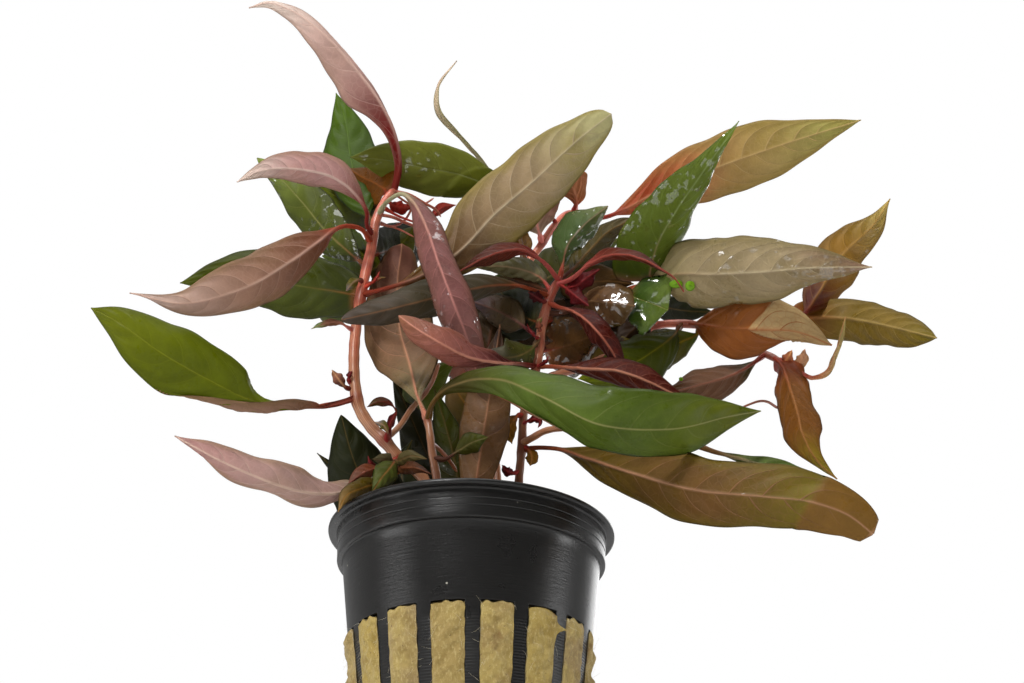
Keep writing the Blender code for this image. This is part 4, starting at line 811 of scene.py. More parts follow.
def leaf_points(leaf, seed, along, across, thick, rib, stalk_radius, quilt):
    """A leaf's two skins around its middle surface, with the marks that its finish reads.

    The middle surface leaves the midrib line on each side as an arc, or as an arc that rolls over, half
    a blade wide. It puckers between the side veins, waves towards its margin, swells where it is wet,
    and lies a little further forward past a fold. Each skin lies off it by the blade's half thickness,
    sqrt(1 - q^2) times a constant, q being the share of the way to the margin, and by a rib of
    bell-shaped section. A stalk is the same skins with a rib as thick as they are wide.
    """
    middle, left, away, t, tip, length = leaf_rows(leaf, along)
    wide, stalk, wet, wave = (leaf[key] for key in ("wide", "stalk", "wet", "wave"))
    stalk_part = stalk_radius * (1 - 0.85 * t) + 0.3 * np.exp(-(t * length / 1.5) ** 2)
    half = ((wide / 2 * blade_share(leaf, t)) ** 6 + stalk_part**6) ** (1 / 6)

    x = np.linspace(-1, 1, 2 * across - 1)
    s = np.sign(x) * abs(x) ** 1.35
    q, side = abs(s), np.sign(s)
    tt, qq, ss = t[:, None], q[None, :], side[None, :]
    out, back = blade_section(leaf, t, q, side)
    ragged = 1 + 0.024 * np.sin(21 * tt + 3 * ss + seed) + 0.016 * np.sin(47 * tt + 1.7 * seed)
    reach = half[:, None] * ragged
    sheet = (middle[:, None] + (reach * out * ss)[..., None] * left[:, None]
             + (reach * back)[..., None] * away[:, None])
    front = unit(np.cross(np.gradient(sheet, axis=0), np.gradient(sheet, axis=1)))

    phase = vein_phase(tt, qq, ss, wide / length, leaf["veins"], stalk, seed)
    blade_part = ease(tt, stalk, stalk + 0.15) * ease(1 - tt, 0.0, 0.12)
    pillow = (0.5 - 0.5 * np.cos(2 * math.pi * phase)) * np.sin(math.pi * qq) ** 0.7
    pucker = quilt * (1 - wet) * blade_part * pillow
    margin = wave * blade_part * qq**2.5 * np.sin(2 * math.pi * (3.1 * tt + 0.23 * seed) + ss)
    flat = np.stack(np.broadcast_arrays(tt * length, s[None, :] * half[:, None], 0 * tt), -1)
    film = 0.11 * wet**2 * ripples(flat, 3.6, seed + 50) * blade_part
    top = 1 if leaf["shows"] == "top" else -1
    fold = np.zeros(sheet.shape[:2])
    if "fold" in leaf:
        at, above, below, lift = leaf["fold"]
        past = tt - (at + np.where(side > 0, above * q, -below * q)[None, :])
        fold = ease(past, -0.004, 0.012) + 0 * qq
        film = film - top * lift * fold * np.exp(-np.clip(past, 0, 1) / 0.12)
    sheet = sheet + (top * pucker + margin + film)[..., None] * front

    rib_width = (0.62 if top > 0 else 1.0) * (0.36 - 0.24 * tt)
    bell = np.exp(-((qq * reach / rib_width) ** 2))
    line_mark = np.exp(-((qq * reach / (0.8 * rib_width)) ** 2))
    in_stalk = 1 - ease(tt, stalk * 0.7, stalk * 1.2 + 0.05)
    round_off = np.sqrt(np.clip(1 - qq**2, 0, 1))
    under = round_off * (thick + (rib * (1 - 0.8 * tt) + 0.16 * in_stalk) * bell)
    upper = round_off * (thick + (0.5 * in_stalk - 0.07 * (1 - in_stalk)) * bell)
    front_off, back_off = (upper, under) if top > 0 else (under, upper)
    front_skin = sheet + front_off[..., None] * front
    back_skin = sheet - back_off[..., None] * front
    ring = np.concatenate((front_skin, back_skin[:, -2:0:-1]), axis=1)

    def around(values):
        """Values of the sheet's points, carried round both skins."""
        values = np.broadcast_to(values, sheet.shape[:2])
        return np.concatenate((values, values[:, -2:0:-1]), axis=1)

    rows, columns = ring.shape[:2]
    marks = dict(phase=around(phase), rib=around(line_mark * (1 - 0.3 * tt)), stalk=around(in_stalk),
                 fold=around(fold))
    marks = {key: np.concatenate((value.ravel(), value[0, :1], value[-1, :1]))
             for key, value in marks.items()}
    uv = np.stack((around(tt), around((s[None, :] + 1) / 2)), axis=-1)
    uv = np.concatenate((uv.reshape(-1, 2), ((0, 0.5), (1, 0.5))))
    skin = (np.arange(columns) >= 2 * across - 2).astype(int)
    slots = np.concatenate((np.tile(skin, rows - 1), skin, skin))
    points = np.concatenate((ring.reshape(-1, 3), middle[:1], tip))
    return points, closed_grid(rows, columns), slots, uv, marks


def rgb(red, green, blue):
    """A linear colour from red, green and blue of 0 to 255."""
    part = np.array((red, green, blue)) / 255
    linear = np.where(part <= 0.04045, part / 12.92, ((part + 0.055) / 1.055) ** 2.4)
    return (*linear.tolist(), 1.0)


class Nodes:
    """A node tree being filled. Most methods add one node and return the socket of its result."""

    def __init__(self, tree):
        self.tree = tree

    def give(self, node, inputs):
        """Sets a node's inputs to values, or joins them to other nodes' sockets."""
        for key, value in inputs.items():
            if isinstance(value, bpy.types.NodeSocket):
                self.tree.links.new(value, node.inputs[key])
            else:
                node.inputs[key].default_value = value

    def add(self, kind, inputs=None, **settings):
        """The outputs of a new node, with its settings and inputs given."""
        made = self.tree.nodes.new(f"ShaderNode{kind}")
        for key, value in settings.items():
            setattr(made, key, value)
        self.give(made, inputs or {})
        return made.outputs

    @functools.cached_property
    def where(self):
        """The piece's own coordinates, in metres."""
        return self.add("TexCoord")["Object"]

    @functools.cached_property
    def height(self):
        return self.add("SeparateXYZ", {0: self.where})[2]

    def along_and_over(self):
        """How far along a stem or leaf, and how far round or across it, from its UV map."""
        return self.add("SeparateXYZ", {0: self.add("UVMap")[0]})[:2]

    def maths(self, operation, a, b=0.0, c=0.0):
        return self.add("Math", {0: a, 1: b, 2: c}, operation=operation)[0]

    def times(self, a, b):
        return self.maths("MULTIPLY", a, b)

    def plus(self, a, b):
        return self.maths("ADD", a, b)

    def line(self, a, slope, start):
        """a times slope, plus start."""
        return self.maths("MULTIPLY_ADD", a, slope, start)

    def eased(self, value, low, high):
        """0 below low, 1 above high, and smooth between."""
        return self.add("MapRange", {0: value, 1: low, 2: high}, interpolation_type="SMOOTHSTEP")[0]

    def mix(self, share, a, b, kind="MIX"):
        """A share of the way from colour a to colour b."""
        return self.add("Mix", {0: share, 6: a, 7: b}, data_type="RGBA", blend_type=kind)[2]

    def mark(self, name):
        return self.add("Attribute", attribute_name=name)["Fac"]

    def noise(self, scale, detail=3.0, rough=0.55, where=None):
        inputs = {"Vector": where or self.where, "Scale": scale, "Detail": detail, "Roughness": rough}
        return self.add("TexNoise", inputs)["Fac"]

    def streaks(self, scale, turn=(0.0, 0.0, 0.0), detail=5.0):
        """Noise stretched by a scale on each axis, after a turn in radians."""
        stretched = self.add("Mapping", {"Vector": self.where, "Scale": scale, "Rotation": turn})[0]
        return self.noise(1.0, detail, 0.7, stretched)

    def cells(self, scale, feature="F1"):
        """The distance to a cell's middle, or to its edge."""
        return self.add("TexVoronoi", {"Vector": self.where, "Scale": scale}, feature=feature)["Distance"]

    def bump(self, height, distance):
        """A normal from a height, whose full range is distance metres."""
        return self.add("Bump", {"Height": height, "Distance": distance})["Normal"]


def leaf_skin_group():
    """Colour, roughness, wet film and height of a blade, from the piece's marks and from noise."""
    tree = bpy.data.node_groups.new("leaf skin", "ShaderNodeTree")
    colours = ("Blade", "Base", "Tip", "Edge", "Rib", "Vein", "Stalk", "Turned")
    sockets = [("INPUT", key, "Color") for key in colours]
    sockets += [("INPUT", key, "Float") for key in ("Reach", "Veining", "Wet")]
    sockets += [("OUTPUT", "Color", "Color")]
    sockets += [("OUTPUT", key, "Float") for key in ("Roughness", "Film", "Height")]
    for way, key, kind in sockets:
        tree.interface.new_socket(key, in_out=way, socket_type=f"NodeSocket{kind}")
    given = tree.nodes.new("NodeGroupInput").outputs
    nodes = Nodes(tree)
    along, over = nodes.along_and_over()
    edge = nodes.maths("ABSOLUTE", nodes.line(over, 2.0, -1.0))
    part = nodes.maths("FRACT", nodes.mark("phase"))
    cloud, broad, cells = nodes.noise(210.0, 4.0), nodes.noise(75.0), nodes.cells(2600.0)

    # Thin side veins where the phase is whole, and a net between them, both faint at the margin and tip
    off_vein = nodes.maths("SUBTRACT", 0.5, nodes.maths("ABSOLUTE", nodes.maths("SUBTRACT", part, 0.5)))
    off_vein = nodes.maths("ABSOLUTE", nodes.plus(off_vein, nodes.line(nodes.noise(500.0), 0.06, -0.03)))
    fade = nodes.times(nodes.eased(edge, 1.0, 0.72), nodes.eased(along, 0.98, 0.8))
    net = nodes.eased(nodes.cells(620.0, "DISTANCE_TO_EDGE"), 0.10, 0.0)
    grown = nodes.eased(nodes.maths("DIVIDE", along, given["Reach"]), 0.3, 1.0)
    lines = nodes.times(nodes.times(nodes.eased(off_vein, 0.042, 0.0), fade), given["Veining"])
    net = nodes.times(nodes.times(net, fade), nodes.times(given["Veining"], 0.22))
    lines = nodes.maths("MAXIMUM", lines, net)
    lines = nodes.times(lines, nodes.line(grown, 0.75, 0.25))

    # The blade from base to tip, its margin and blotches, and what a fold turns over
    colour = nodes.mix(grown, given["Base"], given["Blade"])
    colour = nodes.mix(nodes.eased(along, 0.6, 0.98), colour, given["Tip"])
    away = nodes.line(grown, 0.7, 0.3)
    rim = nodes.times(nodes.eased(nodes.plus(edge, nodes.times(cloud, 0.3)), 0.72, 1.16), 0.8)
    colour = nodes.mix(nodes.times(rim, away), colour, given["Edge"])
    blotch = nodes.times(nodes.eased(broad, 0.42, 0.66), BLOTCHES)
    colour = nodes.mix(nodes.times(blotch, away), colour, given["Edge"])
    colour = nodes.mix(nodes.mark("fold"), colour, given["Turned"])

    # Light and dark tone from clouds, grains and cells, and painted shade on the panels between the veins
    shade = nodes.line(nodes.noise(1000.0), 0.18, nodes.line(cloud, 0.56, 0.66))
    shade = nodes.times(shade, nodes.line(cells, 0.08, 0.97))
    # Painted shade of the puckered relief: each panel goes from dark just past one vein to light just
    # before the next
    painted_panel_shade = nodes.times(nodes.maths("SUBTRACT", part, 0.5), nodes.times(given["Veining"], fade))
    shade = nodes.times(shade, nodes.line(painted_panel_shade, 0.2, 1.0))
    colour = nodes.mix(1.0, colour, nodes.add("CombineXYZ", {0: shade, 1: shade, 2: shade})[0], "MULTIPLY")

    # Veins, rib and stalk over it
    colour = nodes.mix(lines, colour, given["Vein"])
    rib = nodes.mix(nodes.eased(along, 0.0, 0.5), given["Stalk"], given["Rib"])
    colour = nodes.mix(nodes.mark("rib"), colour, rib)
    colour = nodes.mix(nodes.mark("stalk"), colour, given["Stalk"])
    patches = nodes.line(nodes.noise(650.0, 2.0), 0.55, nodes.times(broad, 0.45))
    film = nodes.eased(nodes.line(given["Wet"], 0.12, patches), 0.58, 0.61)
    roughness = nodes.times(nodes.line(cloud, 0.25, 0.36), nodes.line(film, -0.5, 1.0))
    height = nodes.plus(nodes.line(cells, 0.03, nodes.times(cloud, 0.5)), nodes.times(lines, 0.8))
    results = {"Color": colour, "Roughness": roughness, "Film": film, "Height": height}
    nodes.give(tree.nodes.new("NodeGroupOutput"), results)
    return tree


def finish(name):
    """A material, its nodes and its shader."""
    made = bpy.data.materials.new(name)
    made.use_nodes = True
    return made, Nodes(made.node_tree), made.node_tree.nodes["Principled BSDF"]


def leaf_skin(skins, look, shows, wet=0.0, tint=(1, 1, 1)):
    """The finish of one side of a blade, from its colours in SKINS times a tint."""
    veining = VEINING[shows]
    key = " ".join(map(str, (look, "skin", veining, wet, *tint)))
    if key in bpy.data.materials:
        return bpy.data.materials[key]
    made, nodes, shader = finish(key)
    blade_colour, base, tip, rib, stalk = np.multiply(SKINS[look], tint)
    margin = np.multiply(MARGINS[look], tint) if look in MARGINS else blade_colour * MARGIN_SHADE
    colours = dict(Blade=blade_colour, Base=base, Tip=tip, Rib=rib, Stalk=stalk, Edge=margin,
                   Vein=blade_colour + VEIN_SHARE * (rib - blade_colour), Turned=FOLDED.get(look, tip))
    values = {part: rgb(*np.minimum(colour, 255)) for part, colour in colours.items()}
    values |= dict(Reach=REACHES.get(look, USUAL_REACH), Veining=veining, Wet=wet)
    skin = made.node_tree.nodes.new("ShaderNodeGroup")
    skin.node_tree = skins
    nodes.give(skin, values)
    nodes.give(shader, {
        "Base Color": skin.outputs["Color"],
        "Roughness": skin.outputs["Roughness"],
        "Normal": nodes.bump(skin.outputs["Height"], 0.00010),
        "Specular IOR Level": 0.13,
        "Coat Roughness": 0.07,
        "Coat IOR": 1.9,
    })
    if wet:
        nodes.give(shader, {"Coat Weight": skin.outputs["Film"]})
    return made


def stem_finish():
    """Salmon and red-brown, with pale streaks of painted highlight along the stem, redder where a leaf
    leaves it.
    """
    made, nodes, shader = finish("living stem")
    along, over = nodes.along_and_over()
    stretched = nodes.add("CombineXYZ", {0: nodes.times(along, 18.0), 1: nodes.times(over, 1400.0)})[0]
    streaks = nodes.noise(0.02, where=stretched)
    cloud = nodes.noise(140.0, 4.0)
    upper = nodes.eased(nodes.height, 0.075, 0.11)
    pale = nodes.mix(upper, rgb(174, 118, 82), rgb(238, 138, 108))
    deep = nodes.mix(upper, rgb(136, 82, 52), rgb(216, 84, 66))
    colour = nodes.mix(nodes.eased(cloud, 0.35, 0.7), pale, deep)
    # Pale streaks along the stem: painted highlight
    colour = nodes.mix(nodes.eased(streaks, 0.5, 0.75), colour, rgb(226, 176, 138))
    colour = nodes.mix(nodes.times(nodes.mark("knot"), 0.6), colour, rgb(134, 56, 42))
    colour = nodes.mix(nodes.mark("foot"), colour, rgb(100, 58, 38))
    nodes.give(shader, {
        "Base Color": colour,
        "Roughness": nodes.line(cloud, 0.25, 0.2),
        "Normal": nodes.bump(nodes.plus(streaks, nodes.times(nodes.noise(1500.0, 2.0), 0.3)), 0.00006),
        "Specular IOR Level": 0.5,
    })
    return made


def pot_finish():
    """Moulded black plastic: satin, with scuffs, fine ribs on the bars, dust and pale specks."""
    made, nodes, shader = finish("moulded black plastic")
    cloud = nodes.noise(90.0, 5.0)
    scuffs = nodes.streaks((260.0, 260.0, 2600.0), detail=4.0)
    dust = nodes.times(nodes.eased(cloud, 0.55, 0.8), 0.35)
    speckled = nodes.eased(nodes.noise(60.0, 2.0), 0.5, 0.55)
    specks = nodes.times(nodes.eased(nodes.cells(230.0), 0.075, 0.045), speckled)
    colour = nodes.mix(dust, rgb(28, 27, 26), rgb(48, 46, 44))
    colour = nodes.mix(specks, colour, rgb(190, 186, 172))
    bars = nodes.times(nodes.eased(nodes.height, 0.027, 0.024), nodes.eased(nodes.height, 0.002, 0.005))
    ribs = nodes.maths("SINE", nodes.times(nodes.height, 2 * math.pi / 0.00055))
    relief = nodes.times(nodes.times(bars, ribs), 0.35)
    relief = nodes.plus(relief, nodes.line(scuffs, 0.45, nodes.times(nodes.noise(2600.0, 2.0), 0.15)))
    nodes.give(shader, {
        "Base Color": colour,
        "Roughness": nodes.line(cloud, 0.2, 0.2),
        "Normal": nodes.bump(relief, 0.00010),
        "Specular IOR Level": 0.36,
        "Coat Weight": 0.06,
        "Coat Roughness": 0.12,
    })
    return made


def wool_finish():
    """Damp mineral wool: yellow-beige mats with fibres, brown specks, stains and greenish shade."""
    made, nodes, shader = finish("damp mineral wool")
    strands = nodes.streaks((2400.0, 2400.0, 1000.0), (0.5, 0.3, 0.2))
    crossing = nodes.streaks((600.0, 700.0, 2300.0), (0.2, 0.9, 0.7))
    colour = nodes.mix(nodes.mark("tone"), rgb(178, 152, 72), rgb(162, 138, 94))
    colour = nodes.mix(nodes.eased(nodes.noise(110.0, 4.0), 0.4, 0.68), colour, rgb(184, 160, 92))
    # A layer's pattern, where it begins and where it is full, its strength and its colour
    layers = (
        (nodes.noise(320.0), 0.48, 0.7, 0.5, (132, 106, 44)),
        (strands, 0.48, 0.68, 0.55, (214, 194, 134)),
        (crossing, 0.55, 0.78, 0.55, (114, 94, 44)),
        (nodes.noise(1500.0), 0.66, 0.72, 0.7, (110, 84, 52)),
        (nodes.noise(150.0, 4.0), 0.64, 0.74, 0.75, (128, 92, 50)),
    )
    for pattern, low, high, strength, tone in layers:
        colour = nodes.mix(nodes.times(nodes.eased(pattern, low, high), strength), colour, rgb(*tone))
    colour = nodes.mix(nodes.mark("stain"), colour, rgb(96, 58, 30))
    nodes.give(shader, {
        "Base Color": colour,
        "Normal": nodes.bump(nodes.plus(strands, nodes.times(crossing, 0.8)), 0.00022),
        "Roughness": 0.95,
        "Specular IOR Level": 0.25,
        "Sheen Weight": 0.15,
        "Sheen Roughness": 0.6,
    })
    return made


def mottled_finish(name, scale, first, second, **values):
    """A plain finish of two colours mixed by noise, with values for its roughness and specular level."""
    made, nodes, shader = finish(name)
    named = {key.replace("_", " "): value for key, value in values.items()}
    nodes.give(shader, {"Base Color": nodes.mix(nodes.noise(scale), first, second)} | named)
    return made


def pot_radius(height):
    """Outer radius of the tapering wall at a height."""
    heights = (0.0, SLOT_TOP, COLLAR_BOTTOM)
    return np.interp(height, heights, (BASE_RADIUS, SLOT_TOP_RADIUS, WALL_TOP_RADIUS))


def wall_rings(heights, depth=0.0):
    """Radius and height of rings that lie depth inside the wall's outer face."""
    return [(pot_radius(height) - depth, height) for height in heights]


def corner(centre, radius, first, last, steps=4):
    """Points of an arc in the pot's section, between two angles in degrees."""
    turns = np.radians(np.linspace(first, last, steps))
    return [(centre[0] + radius * math.cos(a), centre[1] + radius * math.sin(a)) for a in turns]


def pot_section():
    """Radius and height of the pot's rings, outside from the foot to the rim, and inside back down.

    With them go the rings at the foot and the top of the slots, outside and then inside.
    """
    top, under, collar = POT_HEIGHT, POT_HEIGHT - RIM_THICKNESS, COLLAR_RADIUS
    low = corner((BASE_RADIUS - 0.8, 0.8), 0.8, -90, 0) + wall_rings(np.linspace(1.6, SLOT_BOTTOM, 3))
    slots = wall_rings(np.linspace(SLOT_BOTTOM, SLOT_TOP, SLOT_RINGS + 1)[1:])
    upper = wall_rings(np.linspace(SLOT_TOP + 1.2, COLLAR_BOTTOM - 0.5, 8))
    ledge = [(WALL_TOP_RADIUS + 0.15, COLLAR_BOTTOM - 0.05)]
    ledge += corner((collar - 0.3, COLLAR_BOTTOM + 0.33), 0.33, -80, 0)
    band = [(collar + past, height) for past, height in BAND]
    flange = corner((collar + 0.55, under - 0.35), 0.35, 180, 90)
    flange += [(RIM_RADIUS - 0.6, under)] + corner((RIM_RADIUS - 0.45, under + 0.45), 0.45, -90, 0)
    flange += corner((RIM_RADIUS - 0.5, top - 0.5), 0.5, 0, 90)
    outside = low + slots + upper + ledge + band + flange
    inside = corner((collar - POT_WALL + 0.5, top - 0.5), 0.5, 90, 180)
    inside += [(collar - POT_WALL, 45.0), (WALL_TOP_RADIUS - POT_WALL, COLLAR_BOTTOM - 0.6)]
    inside += wall_rings(np.linspace(COLLAR_BOTTOM - 2, SLOT_TOP + 1.2, 6), POT_WALL)
    first_in = len(outside) + len(inside)
    inside += wall_rings(np.linspace(SLOT_TOP, SLOT_BOTTOM, SLOT_RINGS + 1), POT_WALL)
    inside += wall_rings((3.5, 2.2), POT_WALL)
    inside += corner((pot_radius(2.0) - POT_WALL - 0.5, POT_FLOOR + 0.5), 0.5, 0, -90)
    first_out = len(low) - 1
    return outside + inside, (first_out, first_out + SLOT_RINGS), (first_in, first_in + SLOT_RINGS)


def slot_walls(sides, low_out, low_in):
    """The faces that close the wall's thickness round every slot: both sides, the foot and the top."""
    high_out, high_in = low_out + SLOT_RINGS, low_in - SLOT_RINGS
    first = np.arange(SLOT_COUNT) * (BAR_FACES + SLOT_FACES) + BAR_FACES
    last = (first + SLOT_FACES) % sides
    steps = np.arange(SLOT_RINGS)[:, None]
    out_low, out_high = (low_out + steps) * sides, (low_out + steps + 1) * sides
    in_low, in_high = (low_in - steps) * sides, (low_in - steps - 1) * sides
    here = np.nonzero(np.arange(sides) % (BAR_FACES + SLOT_FACES) >= BAR_FACES)[0]
    after = (here + 1) % sides
    foot_out, foot_in, top_out, top_in = (ring * sides for ring in (low_out, low_in, high_out, high_in))
    corners = (
        (out_high + first, out_low + first, in_low + first, in_high + first),
        (out_low + last, out_high + last, in_high + last, in_low + last),
        (foot_out + here, foot_out + after, foot_in + after, foot_in + here),
        (top_out + after, top_out + here, top_in + here, top_in + after),
    )
    return [np.stack(four, -1)[..., ::-1] for four in corners]


def build_pot(black):
    """The turned section carried round, with a slot left out of both walls between each two bars."""
    section, (low_out, high_out), (high_in, low_in) = pot_section()
    offsets = np.concatenate((np.linspace(-BAR_ANGLE / 2, BAR_ANGLE / 2, BAR_FACES + 1),
                              np.linspace(BAR_ANGLE / 2, PITCH - BAR_ANGLE / 2, SLOT_FACES + 1)[1:-1]))
    angles = np.radians(FIRST_BAR + PITCH * np.arange(SLOT_COUNT)[:, None] + offsets[None]).ravel()
    sides = len(angles)
    radius, height = np.array(section).T
    points = around_axis(radius[:, None], angles, height[:, None])
    share = np.clip((height - SLOT_TOP) / (POT_HEIGHT - SLOT_TOP), 0, 1)[:, None]
    points[..., 2] -= RIM_LEAN * points[..., 0] * share
    points = np.concatenate((points.reshape(-1, 3), ((0, 0, 0), (0, 0, POT_FLOOR))))
    quads, *ends = closed_grid(len(section), sides)
    ring, side = np.meshgrid(np.arange(len(section) - 1), np.arange(sides), indexing="ij")
    between_bars = side % (BAR_FACES + SLOT_FACES) >= BAR_FACES
    in_slots = ((ring >= low_out) & (ring < high_out)) | ((ring >= high_in) & (ring < low_in))
    faces = [quads[~(in_slots & between_bars)], *slot_walls(sides, low_out, low_in), *ends]
    made = piece("pot_shell", points, faces, [black])
    made.data.set_sharp_from_angle(angle=math.radians(35))
    edges = made.modifiers.new("soft edges", "BEVEL")
    edges.width = 0.00012
    edges.segments = 2
    edges.limit_method = "ANGLE"
    edges.angle_limit = math.radians(60)
    return made


def build_plug(wool):
    """The plug's body: a drum inside the wall, with a lumpy top."""
    sides = 160
    rows = wall_rings(np.linspace(POT_FLOOR + GAP, WOOL_TOP - 1.5, 36), POT_WALL + GAP)
    rim = pot_radius(WOOL_TOP) - POT_WALL - GAP
    rows += [(rim - 0.4, WOOL_TOP - 0.5), (rim - 1.2, WOOL_TOP)]
    rows += [(rim * share, WOOL_TOP) for share in np.linspace(0.93, 0.04, 24)]
    radius, height = np.array(rows).T
    points = around_axis(radius[:, None], 2 * math.pi * np.arange(sides) / sides, height[:, None])
    top = ease(height, WOOL_TOP - 2, WOOL_TOP)[:, None]
    points[..., 2] += top * (0.5 * ripples(points, 9.0, 3) + 0.3 * ripples(points, 2.5, 4) - 0.3)
    points = np.concatenate((points.reshape(-1, 3), ((0, 0, POT_FLOOR + GAP), (0, 0, WOOL_TOP - 0.2))))
    marks = dict(tone=np.full(len(points), 0.4), stain=np.zeros(len(points)))
    return piece("wool_plug", points, closed_grid(len(rows), sides), [wool], marks=marks)


def pad_points(centre, seed, swell, spill, sag, flap):
    """One slot's pad: a pillow that swells out of the slot, with a torn upper edge and maybe a flap.

    Its front is R + swell (1 - u^3.5)(1 - v^10) + noise, u across and v up; its sides turn in to the wall.
    """
    across, up = 27, 84
    half = (PITCH - BAR_ANGLE) / 2
    u, v = np.meshgrid(np.linspace(-1, 1, across), np.linspace(-1, 1, up))
    flat = np.stack((u * 3, v * 11, np.full_like(u, seed * 7.3)), -1)
    height = SLOT_BOTTOM + 0.1 + (v + 1) / 2 * (SLOT_TOP - SLOT_BOTTOM - 0.2)
    torn = 0.26 * ripples(flat * (1, 0, 1), 2.4, seed + 2) - 0.2
    height = height + ease(v, 0.8, 1.0) * np.minimum(torn - 0.5 * u**6, 0.02)
    tongue = flap * np.exp(-abs(height - FLAP_HEIGHT) / 0.55) * np.clip(u, 0, 1) ** 3
    edge = spill * (0.35 + 0.5 * ripples(flat, 3.0, seed + 1)) * abs(u) ** 6
    angle = np.radians(centre + u * (half - 0.15) + np.sign(u) * np.clip(edge, -0.15, 1.6) + tongue)
    rough = (0.2 * ripples(flat, 2.6, seed + 3) + 0.05 * ripples(flat, 0.9, seed + 4)
             + 0.5 * sag * ripples(flat, 9.0, seed))
    if sag > 1:
        swell = swell * (0.35 + 0.65 * ease(height, 23, 19))
    lift = swell * (1 - abs(u) ** 3.5) * (1 - abs(v) ** 10) + rough * (1 - abs(u) ** 6) * (1 - abs(v) ** 12)
    radius = pot_radius(height) + 0.12 + np.maximum(lift + 0.12 * tongue, -0.5)
    tight = np.radians(centre + u * (half - 0.25))
    inner = pot_radius(height) - POT_WALL * 0.9
    return around_axis(radius, angle, height), around_axis(inner, tight, height)


def build_pads(wool):
    """The wool that shows in the slots, with one torn flap and the lumps that stand out at both sides."""
    meshes, tones, stains = [], [], []
    for slot in range(SLOT_COUNT):
        centre = FIRST_BAR + PITCH * (slot + 0.5)
        beside = abs(math.cos(math.radians(centre + 90))) < 0.45
        swell, spill, sag = (1.5, 0.5, 1.2) if beside else (0.5, 0.42, 0.3)
        flap = FLAP_TURN if slot == FLAP_SLOT else 0.0
        front, back = pad_points(centre, 10 + 5 * slot, swell, spill, sag, flap)
        rows, columns = front.shape[:2]
        count = rows * columns
        sheet = grid_faces(rows, columns, wrap=False).reshape(-1, 4)
        rim = np.concatenate((np.arange(columns), np.arange(1, rows) * columns + columns - 1,
                              (rows - 1) * columns + np.arange(columns - 2, -1, -1),
                              np.arange(rows - 2, 0, -1) * columns))
        after = np.roll(rim, -1)
        wall = np.stack((rim, rim + count, after + count, after), -1)
        points = np.concatenate((front.reshape(-1, 3), back.reshape(-1, 3)))
        meshes.append((points, [sheet[:, ::-1], sheet + count, wall[:, ::-1]]))
        tones.append(np.full(2 * count, PAD_TONES[slot % len(PAD_TONES)]))
        stains.append(np.clip(ripples(points, 6.0, 40 + slot) - 1.35, 0, 0.7) * ease(points[:, 2], 24, 12))
    marks = dict(tone=np.concatenate(tones), stain=np.concatenate(stains))
    return piece("wool_pads", *joined(meshes), [wool], marks=marks)


def build_fibres(pale):
    """Stray fibres: thin three-sided tubes that curl off the pads' edges and the plug's top."""
    rng = np.random.default_rng(12)
    meshes = []
    for index in range(FIBRES):
        if index < PAD_FIBRES:
            slot = rng.integers(SLOT_COUNT)
            centre = FIRST_BAR + PITCH * (slot + 0.5) + rng.choice((-1, 1)) * rng.uniform(5.5, 8.2)
            angle, height = math.radians(centre), rng.uniform(SLOT_BOTTOM + 1, SLOT_TOP - 0.3)
            radius = pot_radius(height) + rng.uniform(0.15, 0.5)
            outward = np.array((math.cos(angle), math.sin(angle), 0))
            begin = radius * outward + (0, 0, height)
            sideways = np.array((-math.sin(angle), math.cos(angle), 0))
            heading = unit(sideways * rng.normal() + np.array((0, 0, 1)) * rng.normal() + 0.25 * outward)
            length = rng.uniform(0.5, 2.4)
        else:
            angle, radius = rng.uniform(0, 2 * math.pi), rng.uniform(2, 21)
            begin = np.array((radius * math.cos(angle), radius * math.sin(angle), WOOL_TOP - 0.3))
            heading = unit(rng.normal(size=3) * (1, 1, 0.5) + (0, 0, 0.5))
            outward, length = np.array((0, 0, 1.0)), rng.uniform(1.5, 4.0)
        s = np.linspace(0, 1, 7)[:, None]
        curl = unit(rng.normal(size=3))
        line = begin + length * (s * heading + 0.3 * s**2 * curl) + 0.12 * s * outward
        meshes.append(tube(line, FIBRE_RADIUS * (1 - 0.6 * s[:, 0]), 3))
    return piece("wool_fibres", *joined(meshes), [pale])


def build_stem(name, stem, flesh, seed):
    """A round stem with a swollen knot and a faint ring wherever a leaf or a side stem leaves it."""
    line, radii = stem_lines[name]
    lengths = length_along(line)
    carried = [held for held in (*LEAVES.values(), *STEMS.values()) if held.get("on") == name]
    knots = [lengths[start_on(name, *held.get("knot", held["route"][0])[:2])] for held in carried]
    stations = np.linspace(0, lengths[-1], max(40, round(lengths[-1] / 0.55)))
    centre = read_line(line, lengths, stations)
    rows, sides = len(centre), 20
    knot = sum((np.exp(-((stations - at) / 1.3) ** 2) for at in knots), np.zeros(rows))
    knot = np.minimum(knot, 1.0)
    radius = np.interp(stations, lengths, radii) * (1 + 0.14 * knot + 0.03 * np.sin(1.9 * stations + seed))
    closing = np.minimum(1, np.sqrt(np.clip((lengths[-1] - stations) / radius[-1], 0.01, 1)))
    brown_top = WOOL_TOP + stem.get("brown", 30)
    foot = ease(centre[:, 2], brown_top, WOOL_TOP) if "root" in stem else np.zeros(rows)

    def on_rings(values):
        """Values of the rings, carried to their points and to both poles."""
        return np.concatenate((np.repeat(values, sides), values[:1], values[-1:]))

    around = np.tile(np.arange(sides) / sides, rows)
    uv = np.stack((np.repeat(stations / 60.0, sides), around), -1)
    return piece(f"stem_{name}_flesh", *tube(centre, radius * closing, sides), [flesh],
                 uv=np.concatenate((uv, uv[:1], uv[-1:])),
                 marks=dict(knot=on_rings(knot), foot=on_rings(0.9 * foot)))


